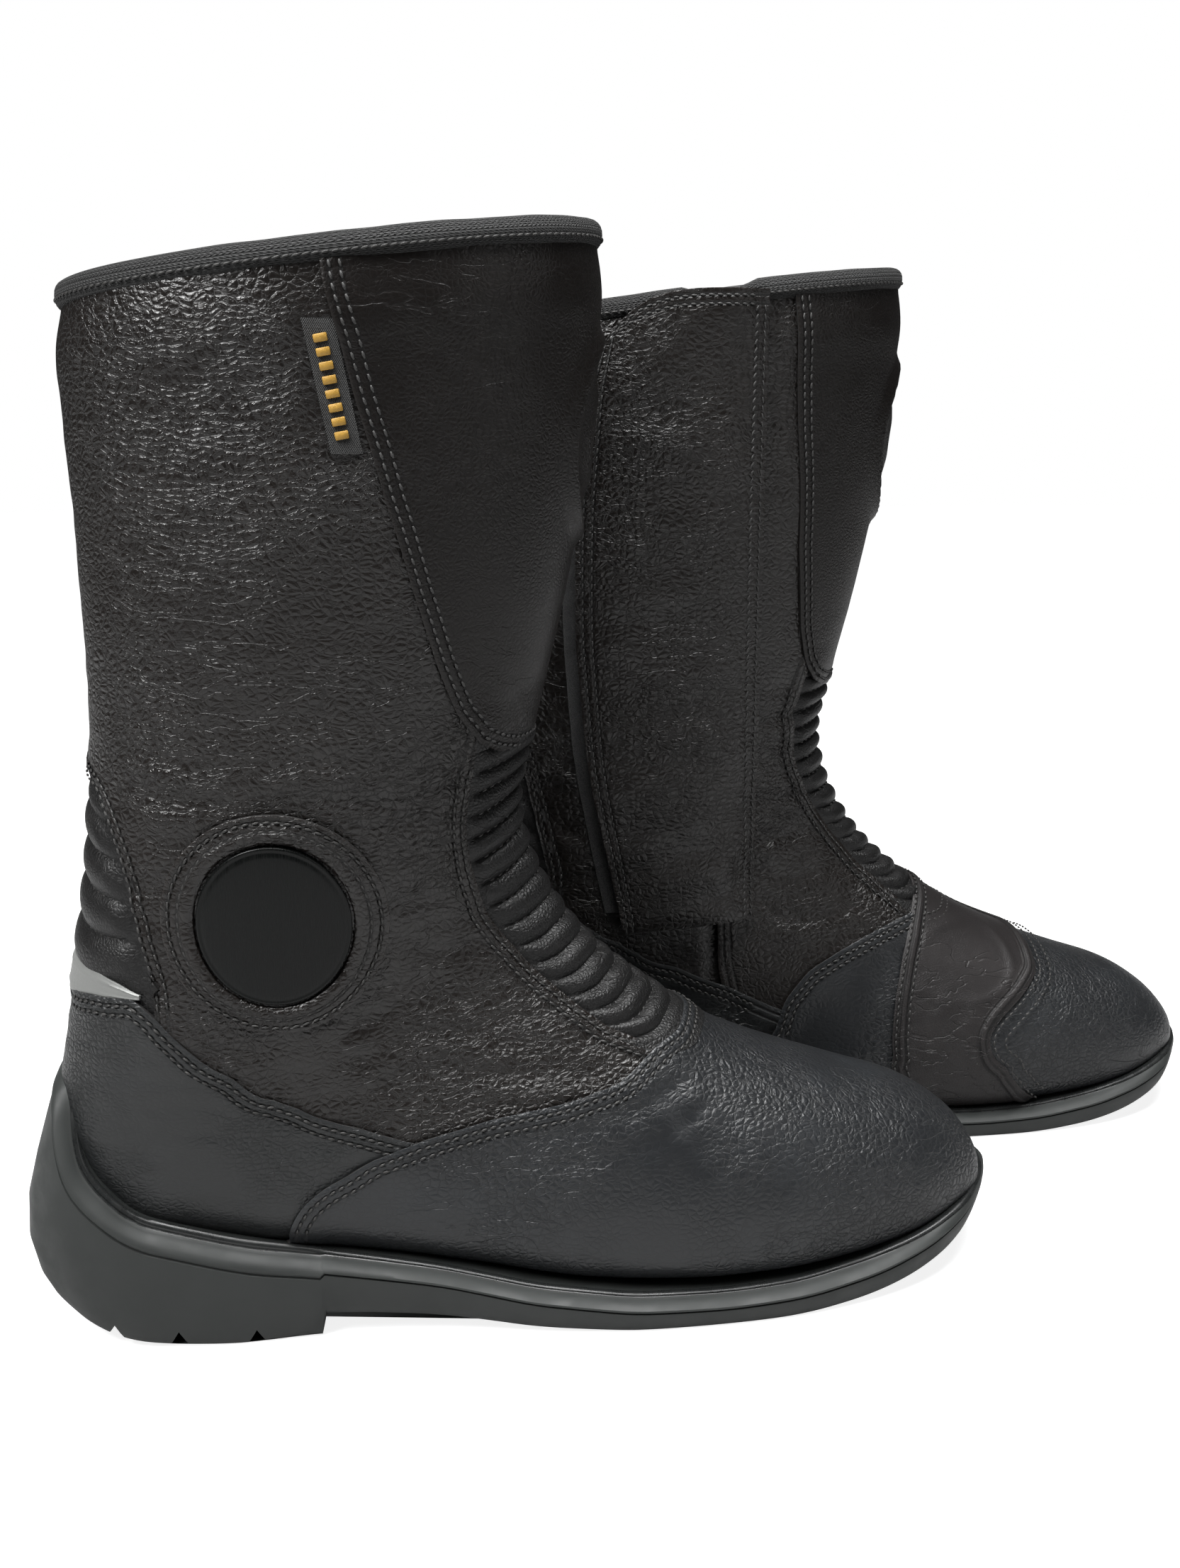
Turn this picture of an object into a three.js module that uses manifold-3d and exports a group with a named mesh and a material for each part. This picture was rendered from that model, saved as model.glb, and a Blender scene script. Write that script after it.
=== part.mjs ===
// A pair of tall leather touring boots for motorcycling, in millimetres, +Z up.
// Each boot is modelled once in its own frame: X runs from heel to toe, Z up from the floor and Y
// from the outer side of the foot (negative) to the inner side (positive), as on a right foot.
// The left boot is its mirror image with a gear-change patch added.
import * as THREE from "three";
import { mergeVertices } from "three/addons/utils/BufferGeometryUtils.js";
import Module from "manifold-3d";

// ---------------------------------------------------------------- driving dimensions
const LEATHER = 1.8; // thickness of the upper leather
const GAP = 0.3; // clearance between neighbouring pieces
const STIFFENER = { outer: 2.1, inner: 3.4 }; // depth under the leather's face
const BOOTIE = { outer: 3.7, inner: 5.7 };
const FOOTBED_EDGE = 6.0;
const LEFT_BOOT = { x: 130, y: 106 }; // where the left boot stands beside the right one
const OUTER = -1; // side of the foot, as a sign of Y
const INNER = 1;
const HEIGHT_ABOVE_ALL = 345; // higher than any piece
const REACH = 120; // further out than any piece, for cutters

// The last: sections from toe to collar. Each is a plane through a front (or top) point and a back
// (or sole) point in side view, with half widths, the height share of the widest place, and the
// powers of its two superellipse halves. The first and last rows only steer the spline.
const SECTIONS = [
  { front: [304.5, 18.5], back: [305, 36], outer: -17, inner: -19, widest: 0.5, top: 2, sole: 2 },
  { front: [308.5, 27], back: [308.5, 27], outer: 0, inner: 0, widest: 0.5, top: 2, sole: 2 },
  { front: [305, 36], back: [304.5, 18.5], outer: 17, inner: 19, widest: 0.42, top: 2, sole: 2.2 },
  { front: [297, 45], back: [294, 14.5], outer: 27.5, inner: 29.5, widest: 0.37, top: 2, sole: 2.6 },
  { front: [283, 53.5], back: [276, 10.5], outer: 37.5, inner: 38, widest: 0.34, top: 2.05, sole: 3.2 },
  { front: [263, 60.5], back: [252, 8.5], outer: 45, inner: 43.5, widest: 0.32, top: 2.1, sole: 3.6 },
  { front: [240, 69], back: [225, 7.5], outer: 49.5, inner: 46, widest: 0.31, top: 2.1, sole: 3.8 },
  { front: [219, 78], back: [196, 7.5], outer: 50.5, inner: 45.5, widest: 0.3, top: 2.05, sole: 3.8 },
  { front: [203, 87.5], back: [165, 9.5], outer: 48, inner: 42, widest: 0.3, top: 2, sole: 3.8 },
  { front: [188, 98.5], back: [130, 15], outer: 43.5, inner: 38, widest: 0.3, top: 1.95, sole: 3.6 },
  { front: [175, 110], back: [92, 20], outer: 39.5, inner: 36, widest: 0.32, top: 1.9, sole: 3.4 },
  { front: [164.5, 123], back: [52, 23], outer: 37.5, inner: 35.5, widest: 0.36, top: 1.9, sole: 3 },
  { front: [157, 137], back: [19, 29], outer: 37, inner: 35.5, widest: 0.41, top: 1.95, sole: 2.6 },
  { front: [153, 149], back: [7, 52], outer: 37.5, inner: 37.5, widest: 0.45, top: 2, sole: 2.35 },
  { front: [151.5, 159], back: [8.5, 78], outer: 38.5, inner: 38, widest: 0.47, top: 2.05, sole: 2.25 },
  { front: [152.5, 169], back: [13.5, 103], outer: 40, inner: 38.8, widest: 0.48, top: 2.1, sole: 2.2 },
  { front: [155.5, 180], back: [18.5, 127], outer: 41.5, inner: 39.35, widest: 0.49, top: 2.1, sole: 2.2 },
  { front: [159.5, 194], back: [22.5, 153], outer: 43.5, inner: 40.3, widest: 0.5, top: 2.15, sole: 2.2 },
  { front: [164, 212], back: [24.5, 182], outer: 45.5, inner: 42.05, widest: 0.5, top: 2.15, sole: 2.2 },
  { front: [169, 236], back: [25, 212], outer: 48, inner: 44.2, widest: 0.5, top: 2.15, sole: 2.2 },
  { front: [173.5, 262], back: [24.5, 242], outer: 50, inner: 46.6, widest: 0.5, top: 2.15, sole: 2.2 },
  { front: [176, 290], back: [23.5, 272], outer: 51.5, inner: 49.2, widest: 0.5, top: 2.15, sole: 2.2 },
  { front: [177, 322], back: [24, 303], outer: 52.5, inner: 52, widest: 0.5, top: 2.15, sole: 2.2 },
  { front: [177.5, 354], back: [24.5, 334], outer: 53, inner: 54, widest: 0.5, top: 2.15, sole: 2.2 },
  { front: [178, 386], back: [25, 365], outer: 53.5, inner: 56, widest: 0.5, top: 2.15, sole: 2.2 },
];
const COLLAR = SECTIONS.length - 3; // spline position of the collar's section
const AROUND = 18; // facets round a section
const ALONG = 18; // rings between toe and collar

// The underside of the upper in side view, from heel to toe: everything inside is stacked on it.
const UNDERSIDE = [
  [-30, 40], [7, 34], [19, 29], [52, 23], [92, 20], [130, 15], [165, 9.5], [196, 7.5],
  [225, 7.5], [252, 8.5], [276, 10.5], [294, 14.5], [304.5, 19], [340, 30],
];
// Heights above the underside of what lies under the foot. The leather's lower edge rests on the board.
const STACK = { board: [0, 2.7], leather: 3, shank: [3, 4.5], bootie: [4.8, 6.3], footbed: [6.6, 10.6] };

// Seams in side view, one set for each side of the foot.
const SEAMS = {
  outer: {
    shin: [[93, 345], [97, 306], [104, 278], [111, 252], [118, 227], [124, 207], [130, 191], [138, 180], [148, 176.8], [152, 176.5], [160, 176.5], [168, 176.5]],
    instep: [[137.5, 182], [133, 163], [133.5, 146], [138, 130], [148, 115], [161, 101], [176, 89], [188, 83.5], [196, 83], [202, 85], [208, 89.5], [214, 96]],
    vamp: [[77, 10], [77, 35], [81, 43], [88, 49], [103, 57], [118, 62], [139, 67], [161, 70], [178, 74], [191, 83.5]],
    heel: [[-12, 106], [12, 107], [24, 109], [36, 110], [42, 105], [48, 98], [63, 86], [81, 75], [101, 66], [119, 62]],
    achilles: [[14, 173], [26, 170], [31, 160], [34, 148], [37, 132], [41, 112], [42, 103]],
  },
  inner: {
    shin: [[121, 345], [124, 315], [128, 270], [131, 230], [134, 200], [137, 187], [142, 179.5], [148, 176.8], [152, 176.5], [160, 176.5], [168, 176.5]],
    instep: [[139, 185.7], [134, 169], [135.5, 153], [140, 141], [149, 127], [160, 113], [173, 99], [186, 87.5], [196, 83], [202, 85], [208, 89.5], [214, 96]],
    vamp: [[129, 5], [129, 47], [132, 57], [142, 68], [156, 75], [172, 81], [188, 88]],
    heel: [[-12, 106], [12, 107], [24, 109], [36, 110], [42, 105], [50, 96], [68, 84], [90, 73], [110, 64], [132, 53]],
    achilles: [[14, 173], [26, 170], [31, 160], [34, 148], [37, 132], [41, 112], [42, 103]],
    rear: [[38, 345], [36, 300], [34, 250], [34, 200], [32, 172], [30.5, 161]],
    belowZip: [[103.2, 100], [105.5, 82], [108.5, 63]],
  },
};

// The zip on the inner side of the shaft, as a straight line.
const ZIP = { top: [98, 312], bottom: [103, 98], slot: 8.4, tape: 26, tapeThick: 0.9 };
const CHAIN = { width: 6, outer: 0.2, inner: -1.6 }; // heights above the leather's face
const SLIDER = { length: 14, width: 10, plate: 1, rise: 1.3, travel: 185 };
const PULL = { length: 24, width: 7, thick: 1 };

// The flap that covers the zip: hinge line in front, free edge behind.
const FLAP = { hingeTop: [114, 317], hingeBottom: [119.5, 90], thick: 1.8, columns: 8, rows: 12 };
const FLAP_FREE_EDGE = [[68, 90], [62, 118], [56, 150], [52, 199], [52, 244], [55, 285], [59, 317]];
const FLAP_LIFT = [0.6, 3, 4.2, 4.2, 4, 3.6, 3.1, 2.7, 2.5]; // inner face above the leather, hinge to edge

// The ankle guard on the outer side.
const GUARD = { centre: [77, 132], discWide: 22, discTall: 24.5, ringWide: 32.5, ringTall: 33.5, ringThick: 1.4 };

// The outsole: half widths in plan, and the top and bottom edges of its wall in side view.
const SOLE_PLAN = [
  { x: -5, outer: 0, inner: 0 }, { x: -4, outer: 12, inner: 12 }, { x: 1, outer: 22, inner: 22 },
  { x: 12, outer: 31.5, inner: 31 }, { x: 30, outer: 38, inner: 37 }, { x: 60, outer: 41, inner: 39.5 },
  { x: 85, outer: 41.5, inner: 39.5 }, { x: 87, outer: 41.6, inner: 39.6 }, { x: 120, outer: 45, inner: 40.5 },
  { x: 150, outer: 50, inner: 44 }, { x: 180, outer: 54, inner: 48 }, { x: 210, outer: 55, inner: 50 },
  { x: 235, outer: 53.5, inner: 50 }, { x: 260, outer: 48.5, inner: 47.5 }, { x: 280, outer: 41, inner: 42 },
  { x: 295, outer: 31, inner: 33.5 }, { x: 306, outer: 18, inner: 20.5 }, { x: 311.5, outer: 7, inner: 8 },
  { x: 313, outer: 0, inner: 0 },
];
const SOLE_TOP = [
  [-5, 86], [-4, 83], [1, 74], [6, 64], [12, 57], [30, 43], [60, 34], [87, 29], [120, 23.5], [150, 16.5],
  [180, 12.5], [210, 12], [235, 13], [260, 15.5], [280, 19], [295, 22.5], [306, 26], [313, 28.5],
];
const SOLE_BOTTOM = [
  [-5, 4], [1, 2], [12, 0.4], [30, 0], [85, 0], [87, 7], [120, 5], [150, 1], [180, 0], [235, 0],
  [260, 2], [280, 5.5], [295, 10], [306, 14.5], [313, 18.5],
];
// How far the back of the heel lies in front of its rearmost point, by height.
const HEEL_BACK = [[0, 17], [6, 9], [14, 3], [27, 0], [40, 1], [54, 5], [68, 9.5], [86, 14.5]];
const HEEL_BACK_REACH = 40; // the shaping fades out over this length
const HEEL_NOTCHES = [24, 43, 66];
const FOREFOOT_GROOVES = [168, 183, 198, 213, 228];

// ---------------------------------------------------------------- solids
const wasm = await Module();
wasm.setup();

/** A closed mesh as a manifold-3d solid. */
function solidOf(geometry) {
  const bare = new THREE.BufferGeometry().setAttribute("position", geometry.getAttribute("position"));
  bare.setIndex(geometry.index);
  const merged = mergeVertices(bare, 1e-3);
  return new wasm.Manifold(
    new wasm.Mesh({
      numProp: 3,
      vertProperties: merged.attributes.position.array,
      triVerts: new Uint32Array(merged.index.array),
    }),
  );
}

/** A manifold-3d solid as a geometry. */
function geometryOf(solid) {
  const mesh = solid.getMesh();
  const geometry = new THREE.BufferGeometry();
  geometry.setAttribute("position", new THREE.BufferAttribute(new Float32Array(mesh.vertProperties), 3));
  geometry.setIndex(new THREE.BufferAttribute(new Uint32Array(mesh.triVerts), 1));
  geometry.computeVertexNormals();
  return geometry;
}

/** A solid from rows of points: each row is a closed ring, and both ends are closed by a fan. */
function ringSolid(rows, startPole, endPole) {
  const count = rows[0].length;
  const points = rows.flat();
  const faces = [];
  const start = points.push(startPole) - 1;
  const end = points.push(endPole) - 1;
  rows.forEach((row, i) =>
    row.forEach((_, j) => {
      const a = i * count + j;
      const b = i * count + ((j + 1) % count);
      if (i === 0) faces.push(start, b, a);
      if (i === rows.length - 1) faces.push(end, a, b);
      else faces.push(a, b, b + count, a, b + count, a + count);
    }),
  );
  return closedSolid(points, faces);
}

/** A plate from two equal grids of points, its outer and its inner face. */
function plateSolid(outer, inner) {
  const rows = outer.length;
  const columns = outer[0].length;
  const points = [...outer.flat(), ...inner.flat()];
  const at = (layer, i, j) => layer * rows * columns + i * columns + j;
  const faces = [];
  const quad = (a, b, c, d) => faces.push(a, b, c, a, c, d);
  for (let i = 0; i < rows - 1; i++)
    for (let j = 0; j < columns - 1; j++) {
      quad(at(0, i, j), at(0, i, j + 1), at(0, i + 1, j + 1), at(0, i + 1, j));
      quad(at(1, i, j), at(1, i + 1, j), at(1, i + 1, j + 1), at(1, i, j + 1));
    }
  for (let i = 0; i < rows - 1; i++) {
    quad(at(0, i, 0), at(0, i + 1, 0), at(1, i + 1, 0), at(1, i, 0));
    quad(at(0, i, columns - 1), at(1, i, columns - 1), at(1, i + 1, columns - 1), at(0, i + 1, columns - 1));
  }
  for (let j = 0; j < columns - 1; j++) {
    quad(at(0, 0, j), at(1, 0, j), at(1, 0, j + 1), at(0, 0, j + 1));
    quad(at(0, rows - 1, j), at(0, rows - 1, j + 1), at(1, rows - 1, j + 1), at(1, rows - 1, j));
  }
  return closedSolid(points, faces);
}

/** Points and triangles as a solid, turned right side out. */
function closedSolid(points, faces) {
  const geometry = new THREE.BufferGeometry().setFromPoints(points);
  geometry.setIndex(faces);
  const solid = solidOf(geometry);
  if (solid.volume() > 0) return solid;
  const flipped = [];
  for (let i = 0; i < faces.length; i += 3) flipped.push(faces[i], faces[i + 2], faces[i + 1]);
  geometry.setIndex(flipped);
  return solidOf(geometry);
}

/** A prism across the boot from a side-view outline, between two values of Y. */
function prism(outline, from = -REACH, to = REACH) {
  const shape = new THREE.Shape(outline.map(([x, z]) => new THREE.Vector2(x, z)));
  const geometry = new THREE.ExtrudeGeometry(shape, { depth: to - from, bevelEnabled: false });
  geometry.rotateX(Math.PI / 2).translate(0, to, 0);
  return solidOf(geometry);
}

/** A thin wall across one side of the boot along a side-view line, used as a seam's cut. */
function ribbon(line, width, side) {
  const left = [];
  const right = [];
  line.forEach(([x, z], i) => {
    const [x0, z0] = line[Math.max(i - 1, 0)];
    const [x1, z1] = line[Math.min(i + 1, line.length - 1)];
    const length = Math.hypot(x1 - x0, z1 - z0);
    const nx = (-(z1 - z0) / length) * (width / 2);
    const nz = ((x1 - x0) / length) * (width / 2);
    left.push([x + nx, z + nz]);
    right.unshift([x - nx, z - nz]);
  });
  const overlap = 0.05; // the two sides' cuts meet past the centre plane
  return side === OUTER ? prism([...left, ...right], -REACH, overlap) : prism([...left, ...right], -overlap, REACH);
}

// ---------------------------------------------------------------- the last
/** Catmull-Rom value at position t in a list of numbers, where t = 1 is the second entry. */
function splineAt(values, t) {
  const i = Math.min(Math.max(Math.floor(t), 1), values.length - 3);
  const s = t - i;
  const [a, b, c, d] = [values[i - 1], values[i], values[i + 1], values[i + 2]];
  return b + 0.5 * s * (c - a + s * (2 * a - 5 * b + 4 * c - d + s * (3 * (b - c) + d - a)));
}
const column = (pick) => SECTIONS.map(pick);
const TRACK = {
  fx: column((s) => s.front[0]), fz: column((s) => s.front[1]),
  bx: column((s) => s.back[0]), bz: column((s) => s.back[1]),
  outer: column((s) => s.outer), inner: column((s) => s.inner), widest: column((s) => s.widest),
  top: column((s) => s.top), sole: column((s) => s.sole),
};

/** A point of the upper's outer face: t runs from toe (1) to collar, angle from front round the outer side. */
function facePoint(t, angle) {
  const c = Math.cos(angle);
  const s = Math.sin(angle);
  const power = 2 / splineAt(c >= 0 ? TRACK.top : TRACK.sole, t);
  const widest = splineAt(TRACK.widest, t);
  const reach = Math.abs(c) ** power;
  const share = c >= 0 ? widest + (1 - widest) * reach : widest * (1 - reach);
  const half = splineAt(s >= 0 ? TRACK.outer : TRACK.inner, t);
  const [bx, bz] = [splineAt(TRACK.bx, t), splineAt(TRACK.bz, t)];
  return new THREE.Vector3(
    bx + share * (splineAt(TRACK.fx, t) - bx),
    -Math.sign(s) * half * Math.abs(s) ** power,
    bz + share * (splineAt(TRACK.fz, t) - bz),
  );
}

/** The outward normal of the face. */
function faceNormal(t, angle) {
  const step = 0.02;
  const low = Math.max(t - step, 1.004);
  const along = facePoint(low + 2 * step, angle).sub(facePoint(low, angle));
  const around = facePoint(t, angle + step).sub(facePoint(t, angle - step));
  return along.cross(around).normalize();
}

/** A point at a depth under the face. */
const layerPoint = (t, angle, depth) => facePoint(t, angle).addScaledVector(faceNormal(t, angle), -depth);

/** The space inside the face at a depth, closed at the toe and cut off at a spline position above. */
function lastSolid(depth, end = COLLAR, around = AROUND) {
  const rows = [];
  for (let i = 1; i <= ALONG; i++) rows.push(layerRing(1 + (COLLAR - 1) * (i / ALONG) ** 1.08, depth, around));
  if (end > COLLAR) rows.push(layerRing(end, depth, around));
  const toe = facePoint(1, 0).setX(SECTIONS[1].front[0] - depth);
  const last = rows[rows.length - 1];
  const middle = last.reduce((sum, p) => sum.add(p), new THREE.Vector3()).divideScalar(last.length);
  return ringSolid(rows, toe, middle);
}
function layerRing(t, depth, around) {
  return Array.from({ length: around }, (_, j) => layerPoint(t, (2 * Math.PI * j) / around, depth));
}

/** The spline position and angle of the face at a side-view place, on one side of the foot. */
function locate(x, z, side) {
  let best = { error: Infinity };
  for (let t = 2; t <= COLLAR + 0.5; t += 0.5)
    for (let k = 1; k < 12; k++) {
      const angle = side === OUTER ? (Math.PI * k) / 12 : -(Math.PI * k) / 12;
      const p = facePoint(t, angle);
      const error = Math.hypot(p.x - x, p.z - z);
      if (error < best.error) best = { error, t, angle };
    }
  let { t, angle } = best;
  const step = 1e-3;
  for (let n = 0; n < 12; n++) {
    const p = facePoint(t, angle);
    const dt = facePoint(t + step, angle).sub(p).divideScalar(step);
    const da = facePoint(t, angle + step).sub(p).divideScalar(step);
    const [ex, ez] = [x - p.x, z - p.z];
    const det = dt.x * da.z - da.x * dt.z;
    t += (ex * da.z - ez * da.x) / det;
    angle += (dt.x * ez - dt.z * ex) / det;
  }
  return { t, angle };
}

/** The point over a side-view place, at a height above the face. */
function sidePoint(x, z, side, lift = 0) {
  const { t, angle } = locate(x, z, side);
  return layerPoint(t, angle, -lift);
}

/** A plate that lies on one side of the boot: place(i, j) gives side view x and z, lifts give both faces. */
function sidePlate(rows, columns, side, place, lower, upper) {
  const layer = (lift) =>
    Array.from({ length: rows + 1 }, (_, i) =>
      Array.from({ length: columns + 1 }, (_, j) => {
        const [x, z] = place(i / rows, j / columns);
        return sidePoint(x, z, side, lift(i / rows, j / columns));
      }),
    );
  return plateSolid(layer(upper), layer(lower));
}

/** The value of a side-view curve, given as [x, z] points in order of x. */
function heightAt(curve, x) {
  const i = Math.max(1, curve.findIndex(([px]) => px >= x));
  const [[x0, z0], [x1, z1]] = [curve[i - 1], curve[i]];
  return z0 + ((z1 - z0) * (x - x0)) / (x1 - x0);
}

// ---------------------------------------------------------------- outlines stacked on the underside
const raised = (by) => UNDERSIDE.map(([x, z]) => [x, z + by]);
const above = (by) => prism([...raised(by), [340, HEIGHT_ABOVE_ALL * 1.2], [-30, HEIGHT_ABOVE_ALL * 1.2]]);
const band = (low, high) => prism([...raised(low), ...raised(high).reverse()]);

// ---------------------------------------------------------------- the upper
/** The eight leather panels, cut from one shell along the seams. */
function leatherPanels() {
  let shell = lastSolid(0).subtract(lastSolid(LEATHER, COLLAR + 0.5)).intersect(above(STACK.leather));
  for (const [side, seams] of [[OUTER, SEAMS.outer], [INNER, SEAMS.inner]])
    for (const seam of Object.values(seams)) shell = shell.subtract(ribbon(seam, GAP, side));
  const slotTop = [ZIP.top[0] - 0.7, HEIGHT_ABOVE_ALL];
  shell = shell.subtract(ribbon([slotTop, ZIP.bottom], ZIP.slot, INNER));
  const bodies = shell.decompose();
  const probes = {
    vamp: sidePoint(240, 35, OUTER),
    heel_cover: sidePoint(50, 60, OUTER),
    shaft_panel: sidePoint(70, 220, OUTER),
    shin_panel: sidePoint(145, 250, OUTER),
    instep_bellows: sidePoint(148, 140, OUTER),
    achilles_bellows: sidePoint(30, 135, OUTER),
    inner_rear_panel: sidePoint(70, 220, INNER),
    inner_front_panel: sidePoint(116, 220, INNER),
  };
  const panels = {};
  for (const [name, probe] of Object.entries(probes)) panels[name] = nearestBody(bodies, probe);
  return panels;
}

/** The body with a corner nearest to a point. */
function nearestBody(bodies, probe) {
  let best = { distance: Infinity };
  for (const body of bodies) {
    const mesh = body.getMesh();
    for (let i = 0; i < mesh.vertProperties.length; i += 3) {
      const distance = probe.distanceTo(new THREE.Vector3().fromArray(mesh.vertProperties, i));
      if (distance < best.distance) best = { distance, body };
    }
  }
  return best.body;
}

/** A stiffener or pad between leather and bootie, within a side-view outline. */
function interlayer(outline, from, to, thick = STIFFENER.inner - STIFFENER.outer) {
  const layer = lastSolid(STIFFENER.outer).subtract(lastSolid(STIFFENER.outer + thick, COLLAR + 0.5));
  return layer.intersect(prism(outline, from, to));
}

const oval = (centre, wide, tall, count = 18) =>
  Array.from({ length: count }, (_, k) => {
    const angle = (2 * Math.PI * k) / count;
    return [centre[0] + wide * Math.cos(angle), centre[1] + tall * Math.sin(angle)];
  });

function toePuff() {
  return interlayer([[258, 14], [282, 17], [296, 20], [330, 28], [330, 90], [270, 90], [266, 40]]);
}
function heelCounter() {
  return interlayer([[-20, 92], [24, 88], [52, 60], [74, 36], [74, 27], [52, 29], [22, 36], [-20, 36]]);
}
function shinGuard() {
  return interlayer([[140, 192], [136, 240], [138, 300], [200, 300], [200, 192]]);
}
function anklePad() {
  return interlayer(oval([62, 128], 22, 27, 16), 5, REACH);
}

/** The waterproof lining sock that the foot goes into. */
function bootie() {
  const outside = lastSolid(BOOTIE.outer, COLLAR, AROUND / 2).intersect(above(STACK.bootie[0]));
  return outside.subtract(lastSolid(BOOTIE.inner, COLLAR + 1, AROUND / 2).intersect(above(STACK.bootie[1])));
}

// ---------------------------------------------------------------- inside the foot
const insoleBoard = () => lastSolid(GAP).intersect(band(...STACK.board));
const footbed = () => lastSolid(FOOTBED_EDGE, COLLAR, AROUND / 2).intersect(band(...STACK.footbed));
const shank = () => band(...STACK.shank).intersect(prism([[62, -5], [172, -5], [172, 60], [62, 60]], -8, 8));

// ---------------------------------------------------------------- the outsole
function outsole() {
  const levels = [0, 0.06, 0.2, 0.4, 0.7, 1];
  const insets = [2.2, 0.6, 0, 0, 0.2, 0.5];
  const side = (point, sign) => ({ x: point.x, y: sign * (sign === OUTER ? point.outer : point.inner) });
  const plan = [
    ...SOLE_PLAN.map((p) => side(p, OUTER)),
    ...SOLE_PLAN.slice(1, -1).reverse().map((p) => side(p, INNER)),
  ];
  const rings = levels.map((level, k) =>
    plan.map(({ x, y }) => {
      const low = heightAt(SOLE_BOTTOM, x);
      const z = low + (heightAt(SOLE_TOP, x) - low) * level;
      const fade = Math.max(0, 1 - (x - SOLE_PLAN[0].x) / HEEL_BACK_REACH) ** 1.5;
      const shift = heightAt(HEEL_BACK, Math.min(z, 85)) * fade;
      return new THREE.Vector3(x + shift, y - Math.sign(y) * Math.min(insets[k], Math.abs(y) / 4), z);
    }),
  );
  const body = stripSolid(rings).subtract(lastSolid(-GAP));
  const notches = HEEL_NOTCHES.map((x) => prism([[x - 2, -1], [x + 2, -1], [x, 4]]));
  const breast = heightAt(SOLE_BOTTOM, 170);
  const grooves = FOREFOOT_GROOVES.map((x) =>
    prism([[x - 1.5, breast - 1], [x + 1.5, breast - 1], [x + 1.5, 2.2], [x - 1.5, 2.2]], -38, 34),
  );
  return [...notches, ...grooves].reduce((solid, cut) => solid.subtract(cut), body);
}

/** A solid from stacked rings whose ends are closed straight across, from each outer point to the inner one. */
function stripSolid(rings) {
  const count = rings[0].length;
  const half = count / 2; // the last point of the outer side, where the sides meet
  const points = rings.flat();
  const faces = [];
  for (let k = 0; k < rings.length - 1; k++)
    for (let j = 0; j < count; j++) {
      const [a, b] = [k * count + j, k * count + ((j + 1) % count)];
      faces.push(a, b, b + count, a, b + count, a + count);
    }
  const cap = (first, turn) => {
    for (let j = 0; j < half; j++) {
      const quad = [j, j + 1, (count - j - 1) % count, (count - j) % count].map((n) => first + n);
      for (const [a, b, c] of [[0, 1, 2], [0, 2, 3]]) {
        const corners = [quad[a], quad[b], quad[c]];
        if (new Set(corners).size === 3) faces.push(...(turn ? corners.reverse() : corners));
      }
    }
  };
  cap(0, true);
  cap((rings.length - 1) * count, false);
  return closedSolid(points, faces);
}

// ---------------------------------------------------------------- trim on the outside
/** The guard's leather ring, a flat band round the disc. */
function ankleRing() {
  const hole = prism(oval(GUARD.centre, GUARD.discWide + 0.6, GUARD.discTall + 0.6));
  const outline = oval(GUARD.centre, GUARD.ringWide, GUARD.ringTall);
  return overlay(outline, GUARD.ringThick, -REACH, 0).subtract(hole);
}

/** The domed plastic disc over the ankle bone. */
function ankleDisc() {
  const ringAt = (share, lift) =>
    oval([0, 0], share * GUARD.discWide, share * GUARD.discTall).map(([x, z]) =>
      sidePoint(GUARD.centre[0] + x, GUARD.centre[1] + z, OUTER, lift),
    );
  const rows = [ringAt(1, -1), ringAt(1, 1.2), ringAt(0.85, 2), ringAt(0.45, 2.8)];
  const dome = ringSolid(rows, sidePoint(...GUARD.centre, OUTER, -1.5), sidePoint(...GUARD.centre, OUTER, 3));
  return dome.subtract(lastSolid(-GAP));
}

/** A thin layer on the face within a side-view outline, such as a patch or the reflector. */
function overlay(outline, thick, from = -REACH, to = REACH) {
  const layer = lastSolid(-GAP - thick).subtract(lastSolid(-GAP, COLLAR + 0.5));
  return layer.intersect(prism(outline, from, to));
}

const heelReflector = () =>
  overlay([[-5, 111.5], [14, 117], [26, 115], [38, 110.8], [30, 110.2], [22, 109.6], [12, 108], [-5, 107]], 0.8);

/** The rubberised gear-change patch on the left boot, over the toe from the inner side. */
const shiftPatch = () =>
  overlay([[178, 14], [175, 40], [178, 60], [188, 74], [189, 120], [252, 120], [248, 80], [232, 72], [216, 62],
    [212, 48], [222, 34], [236, 17]], 1.1, -18, REACH);

/** The woven side label, tucked under the shin panel's edge. */
function sideLabel() {
  const place = (u, v) => [105.3 - 6.4 * u - 7 * v, 264 + 33 * u];
  return sidePlate(2, 1, OUTER, place, () => GAP, () => GAP + 0.7);
}

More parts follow.
